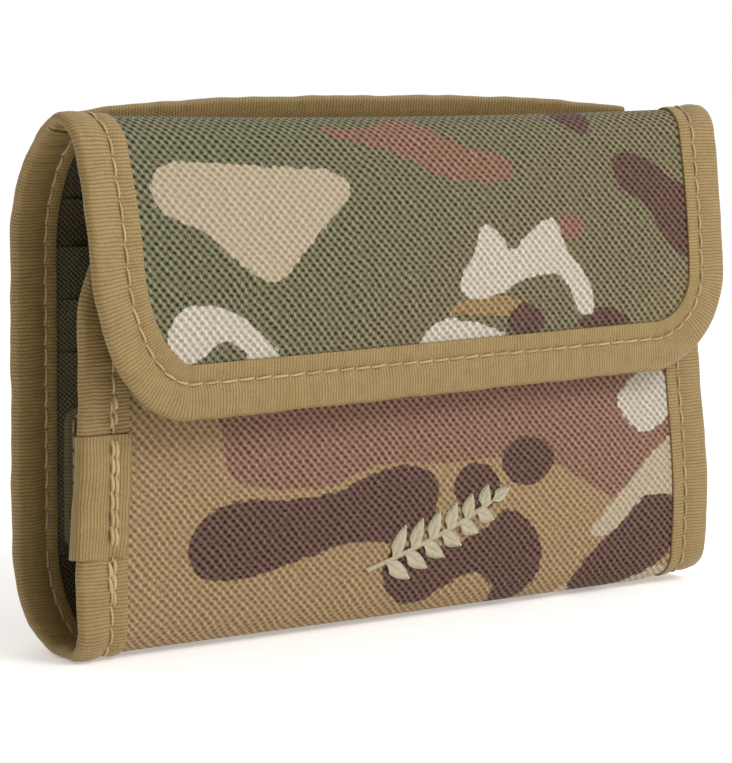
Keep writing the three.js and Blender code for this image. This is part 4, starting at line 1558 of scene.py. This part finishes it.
def plate(outlines, thickness, bevel):
    """A flat bevelled plate with holes, made from closed outlines in its own plane."""
    curve = bpy.data.curves.new("outline", "CURVE")
    curve.dimensions, curve.fill_mode = "2D", "BOTH"
    curve.extrude, curve.bevel_depth, curve.bevel_resolution = thickness / 2 - bevel, bevel, 2
    curve.offset = -bevel
    for outline in outlines:
        spline = curve.splines.new("POLY")
        spline.points.add(len(outline) - 1)
        flat = np.column_stack([outline, np.zeros(len(outline)), np.ones(len(outline))])
        spline.points.foreach_set("co", flat.ravel())
        spline.use_cyclic_u = True
    holder = bpy.data.objects.new("outline", curve)
    mesh = bpy.data.meshes.new_from_object(holder)
    points = np.array([v.co[:] for v in mesh.vertices])
    faces = [list(p.vertices) for p in mesh.polygons]
    bpy.data.objects.remove(holder)
    bpy.data.curves.remove(curve)
    bpy.data.meshes.remove(mesh)
    return points, faces, points[:, :2]


def mirrored(x, z, middle=0.0):
    """A closed outline from its upper half, mirrored about a middle height."""
    return np.vstack([np.column_stack([x, z]), np.column_stack([x[::-1], 2 * middle - z[::-1]])])


def make_slider():
    """The slider's two plates, wedge and bridge."""
    (x0, _, z0), (x1, _, z1) = span("zip_slider")
    reach = float(span("zip_pull")[0][0]) + 1.0
    q = np.linspace(0, 1, 40)
    waist = 0.72 + 0.28 * np.cos(np.pi * (q - 0.35))
    ends = np.sin(np.pi * np.clip(q, 0.03, 0.97)) ** 0.22
    outline = mirrored(x0 + (x1 - x0) * q, (z1 - z0) / 2 * waist * ends)
    parts = []
    for h, thick in ((1.13, 0.46), (-1.13, 0.46)):
        points, faces, coords = plate([outline], thick, 0.14)
        placed = zip_surface(points[:, 0], points[:, 1], points[:, 2] + h)
        parts.append((placed, faces, coords))
    wedge = mirrored(x0 + 0.5 + 2.2 * q, 0.5 * (1 - q) ** 0.5)
    points, faces, coords = plate([wedge], 2.2, 0.05)
    parts.append((zip_surface(points[:, 0], points[:, 1], points[:, 2]), faces, coords))
    arch = bent([(x0 + 0.9, 1.2), (x0 + 0.9, 3.6), (reach + 3.6, 3.6), (reach + 3.9, 1.2)], 24)
    centres = zip_surface(arch[:, 0], 0.0, arch[:, 1])
    normals = np.tile([0.0, 0.0, 1.0], (24, 1))
    parts.append(tube(centres, normals, np.full(24, 0.42), sides=10)[:2] + (np.zeros((240, 2)),))
    points, faces, coords = merge(parts)
    obj = make_object("slider", points, faces, METAL, coords, sharp=40)
    settle(obj, "zip_metal", ["zip_slider"], "zip_slider")


def make_pull():
    """The flat pull, with an eye for the bridge and a finger hole."""
    (x0, y0, z0), (x1, y1, z1) = span("zip_pull")
    q = np.linspace(0, 1, 40)
    half, middle = (z1 - z0) / 2, (z0 + z1) / 2 - ZIP_Z
    flare = 0.62 + 0.38 * q**1.5
    ends = (1 - np.abs(2 * q - 1) ** 9) ** 0.5
    outer = mirrored(x0 + (x1 - x0) * q, middle + half * flare * ends, middle)
    outer = outer[np.concatenate([[True], np.hypot(*np.diff(outer, axis=0).T) > 1e-4])]
    eye = rounded(disc(x0 + 1.9, middle, 1.15, 0.8), 4)
    finger = rounded(disc(x1 - 2.8, middle, 1.5, 1.1), 4)
    points, faces, coords = plate([outer, eye, finger], y1 - y0, 0.16)
    placed = zip_surface(points[:, 0], points[:, 1], points[:, 2] + (y0 + y1) / 2 - ZIP_Y)
    obj = make_object("pull", placed, faces, METAL, coords, sharp=40)
    settle(obj, "zip_metal", ["zip_pull"], "zip_pull")


def make_stops():
    """The metal stop over both tapes at each end of the teeth."""
    for name, x in (("left", ZIP_LOW_X - STOP_GAP), ("right", ZIP_HIGH_X + STOP_GAP)):
        z = np.linspace(-2.3, 2.3, 12)
        centres = zip_surface(x, z, 0.1 * np.cos(z / 2))
        radii = 0.72 * (1 - (z / 3.2) ** 4)
        points, faces, _ = tube(centres, np.tile([0, 1.0, 0], (12, 1)), radii, sides=12)
        obj = make_object(f"stop_{name}", points, faces, METAL, points[:, [0, 2]], sharp=40)
        settle(obj, "zip_metal", [f"zip_stop_{name}"], "front_panel")


# ---- Hook and loop patches ----

PATCH_HALF = float(span("loop_patch")[1][0])
PATCH_THICK = 0.35      # of the patches' backing


def pile(place, length, width, pitch, seed, hooked):
    """Rows of tiny hooks or loops over a patch."""
    rng = np.random.default_rng(seed)
    parts = []
    turn = np.linspace(0, 1.35 * math.pi if hooked else math.pi, 6)
    size, most_lean = (0.42, 0.5) if hooked else (0.5, 1.5)
    for row, t in enumerate(np.arange(1.3, width - 1.0, pitch)):
        for l in np.arange(1.2 + (row % 2) * pitch / 2, length - 1.0, pitch):
            lean = rng.uniform(-most_lean, most_lean)
            run = size * (1 - np.cos(turn)) - size
            lift = size * 1.7 * np.sin(np.minimum(turn, math.pi)) ** 0.8 + (0.35 if hooked else 0)
            lift = np.where(turn > math.pi, 0.35, lift)
            lift[0] = -0.05
            centres = place(l + run * math.cos(lean), t + run * math.sin(lean), lift)
            normals = np.tile([0.3, 0.2, 0.93], (6, 1))
            radius = np.full(6, 0.1 if hooked else 0.085)
            parts.append(tube(centres, normals, radius, sides=4, shade=rng.uniform(0.2, 1)))
    return parts


def make_patches():
    """The loop patch on the front and the hook patch inside the flap, with their edge stitches."""
    low, high = (float(v[2]) for v in span("loop_patch"))
    hook_low, hook_high = (float(v[2]) for v in span("hook_patch"))
    specs = (
        ("loop", "front_panel", front_s(high), front_s(low), lambda s: 0.02, 1, LOOP_STRAND),
        ("hook", "flap", flap_s(hook_high), flap_s(hook_low), lambda s: -core(s) - 0.02, -1, HOOK_STRAND),
    )
    for name, body, s0, s1, base, side, strand in specs:
        inner = lambda u, s: base(s) + 0 * u
        outer = lambda u, s: base(s) + side * PATCH_THICK * ease((PATCH_HALF + 0.05 - np.abs(u)) / 0.3)
        heights = (inner, outer) if side > 0 else (outer, inner)
        width = lambda s, _: np.full_like(s, PATCH_HALF)
        obj = cloth_panel(f"{name}_backing", s0, s1, heights, PATCH_CLOTH, width, step=1.0)
        sheet = (2 * PATCH_HALF, s1 - s0, "stretched", [])
        settle(obj, f"{name}_tape", [f"{name}_patch"], body, sheet=sheet)
        place = lambda l, t, h: surface(l - PATCH_HALF, s0 + t, base(s0 + t) + side * (PATCH_THICK + h))
        parts = pile(place, 2 * PATCH_HALF, s1 - s0, 1.25 if side > 0 else 1.5, 400 + side, side < 0)
        points, faces, coords = merge(parts)
        fuzz = make_object(f"{name}_pile", points, faces, strand, coords, sharp=80)
        settle(fuzz, f"{name}_tape", ride=body)
        rows = []
        for offset in (0.7, s1 - s0 - 0.7):
            rows += stitch_row(place, 2 * PATCH_HALF, 410, offset=offset, pitch=2.6, height=0.45, radius=0.18)
        sewn_piece(f"{name}_stitches", rows, ride=body)


make_shell()
make_linings()
make_tapes()
make_cover()
make_pocket()
make_sprig()
make_inside()
make_coin_pocket()
make_zip()
make_slider()
make_pull()
make_stops()
make_patches()

# ---- Studio ----


def make_floor():
    """A wide pale floor that glows a little, so that it stays white away from the wallet."""
    mesh = bpy.data.meshes.new("floor")
    r = 3.0
    mesh.from_pydata([(-r, -r, 0), (r, -r, 0), (r, r, 0), (-r, r, 0)], [], [(0, 1, 2, 3)])
    floor = bpy.data.objects.new("floor", mesh)
    bpy.context.scene.collection.objects.link(floor)
    shader = Shader("pale_floor")
    grain = shader.noise(shader.position(), 40.0, detail=3)
    colour = shader.mix(grain, (0.90, 0.90, 0.90, 1), (0.94, 0.94, 0.94, 1))
    glow = {"Emission_Color": (1, 1, 1, 1), "Emission_Strength": 0.32}
    mesh.materials.append(shader.finish(colour, 0.8, Specular_IOR_Level=0.1, **glow))


def area_light(name, location, target, size, power, colour=(1, 1, 1)):
    data = bpy.data.lights.new(name, "AREA")
    data.shape, data.size, data.energy, data.color = "DISK", size, power, colour
    light = bpy.data.objects.new(name, data)
    light.location = location
    light.rotation_euler = (Vector(target) - Vector(location)).to_track_quat("-Z", "Y").to_euler()
    bpy.context.scene.collection.objects.link(light)


def make_studio():
    """Soft light from all round, bright from the right and warm and dim from the left, and a key lamp."""
    world = bpy.data.worlds.new("studio")
    world.use_nodes = True
    nodes, links = world.node_tree.nodes, world.node_tree.links
    where = nodes.new("ShaderNodeTexCoord")
    toward = nodes.new("ShaderNodeVectorMath")
    toward.operation = "DOT_PRODUCT"
    toward.inputs[1].default_value = (0.75, 0.12, 0.3)
    level = nodes.new("ShaderNodeMapRange")
    level.interpolation_type = "SMOOTHSTEP"
    for socket, value in zip(level.inputs[1:5], (-0.75, 0.5, 0.12, 1.0)):
        socket.default_value = value
    links.new(where.outputs["Generated"], toward.inputs[0])
    links.new(toward.outputs["Value"], level.inputs[0])
    tint = nodes.new("ShaderNodeMix")
    tint.data_type = "RGBA"
    tint.inputs[6].default_value = (1.0, 0.80, 0.52, 1)
    tint.inputs[7].default_value = (1, 1, 1, 1)
    links.new(level.outputs[0], tint.inputs[0])
    links.new(tint.outputs[2], nodes["Background"].inputs["Color"])
    links.new(level.outputs[0], nodes["Background"].inputs["Strength"])
    bpy.context.scene.world = world
    area_light("key", (0.25, -0.75, 0.75), (0, 0, 0.045), 0.5, 5.0, (1.0, 0.985, 0.96))
    bpy.context.scene.view_settings.view_transform = "Standard"


# The camera's place round the wallet in degrees and metres, and the point it is aimed at
VIEW_AZIMUTH, VIEW_ELEVATION, VIEW_DISTANCE = -36.3, 6.5, 0.515
VIEW_TARGET = (0.0013, 0, 0.046)
VIEW_ROLL = 0.5


def make_camera():
    """The view from the wallet's front left, a little above it."""
    azimuth, elevation = math.radians(VIEW_AZIMUTH), math.radians(VIEW_ELEVATION)
    back = Vector((
        math.sin(azimuth) * math.cos(elevation),
        -math.cos(azimuth) * math.cos(elevation),
        math.sin(elevation),
    ))
    data = bpy.data.cameras.new("camera")
    data.sensor_width = 36
    data.lens = 134.8
    data.shift_x, data.shift_y = -0.0353, -0.0284
    camera = bpy.data.objects.new("camera", data)
    camera.location = Vector(VIEW_TARGET) + back * VIEW_DISTANCE
    roll = Matrix.Rotation(math.radians(VIEW_ROLL), 4, "Z")
    camera.rotation_euler = ((-back).to_track_quat("-Z", "Y").to_matrix().to_4x4() @ roll).to_euler()
    bpy.context.scene.collection.objects.link(camera)
    bpy.context.scene.camera = camera


make_floor()
make_studio()
make_camera()
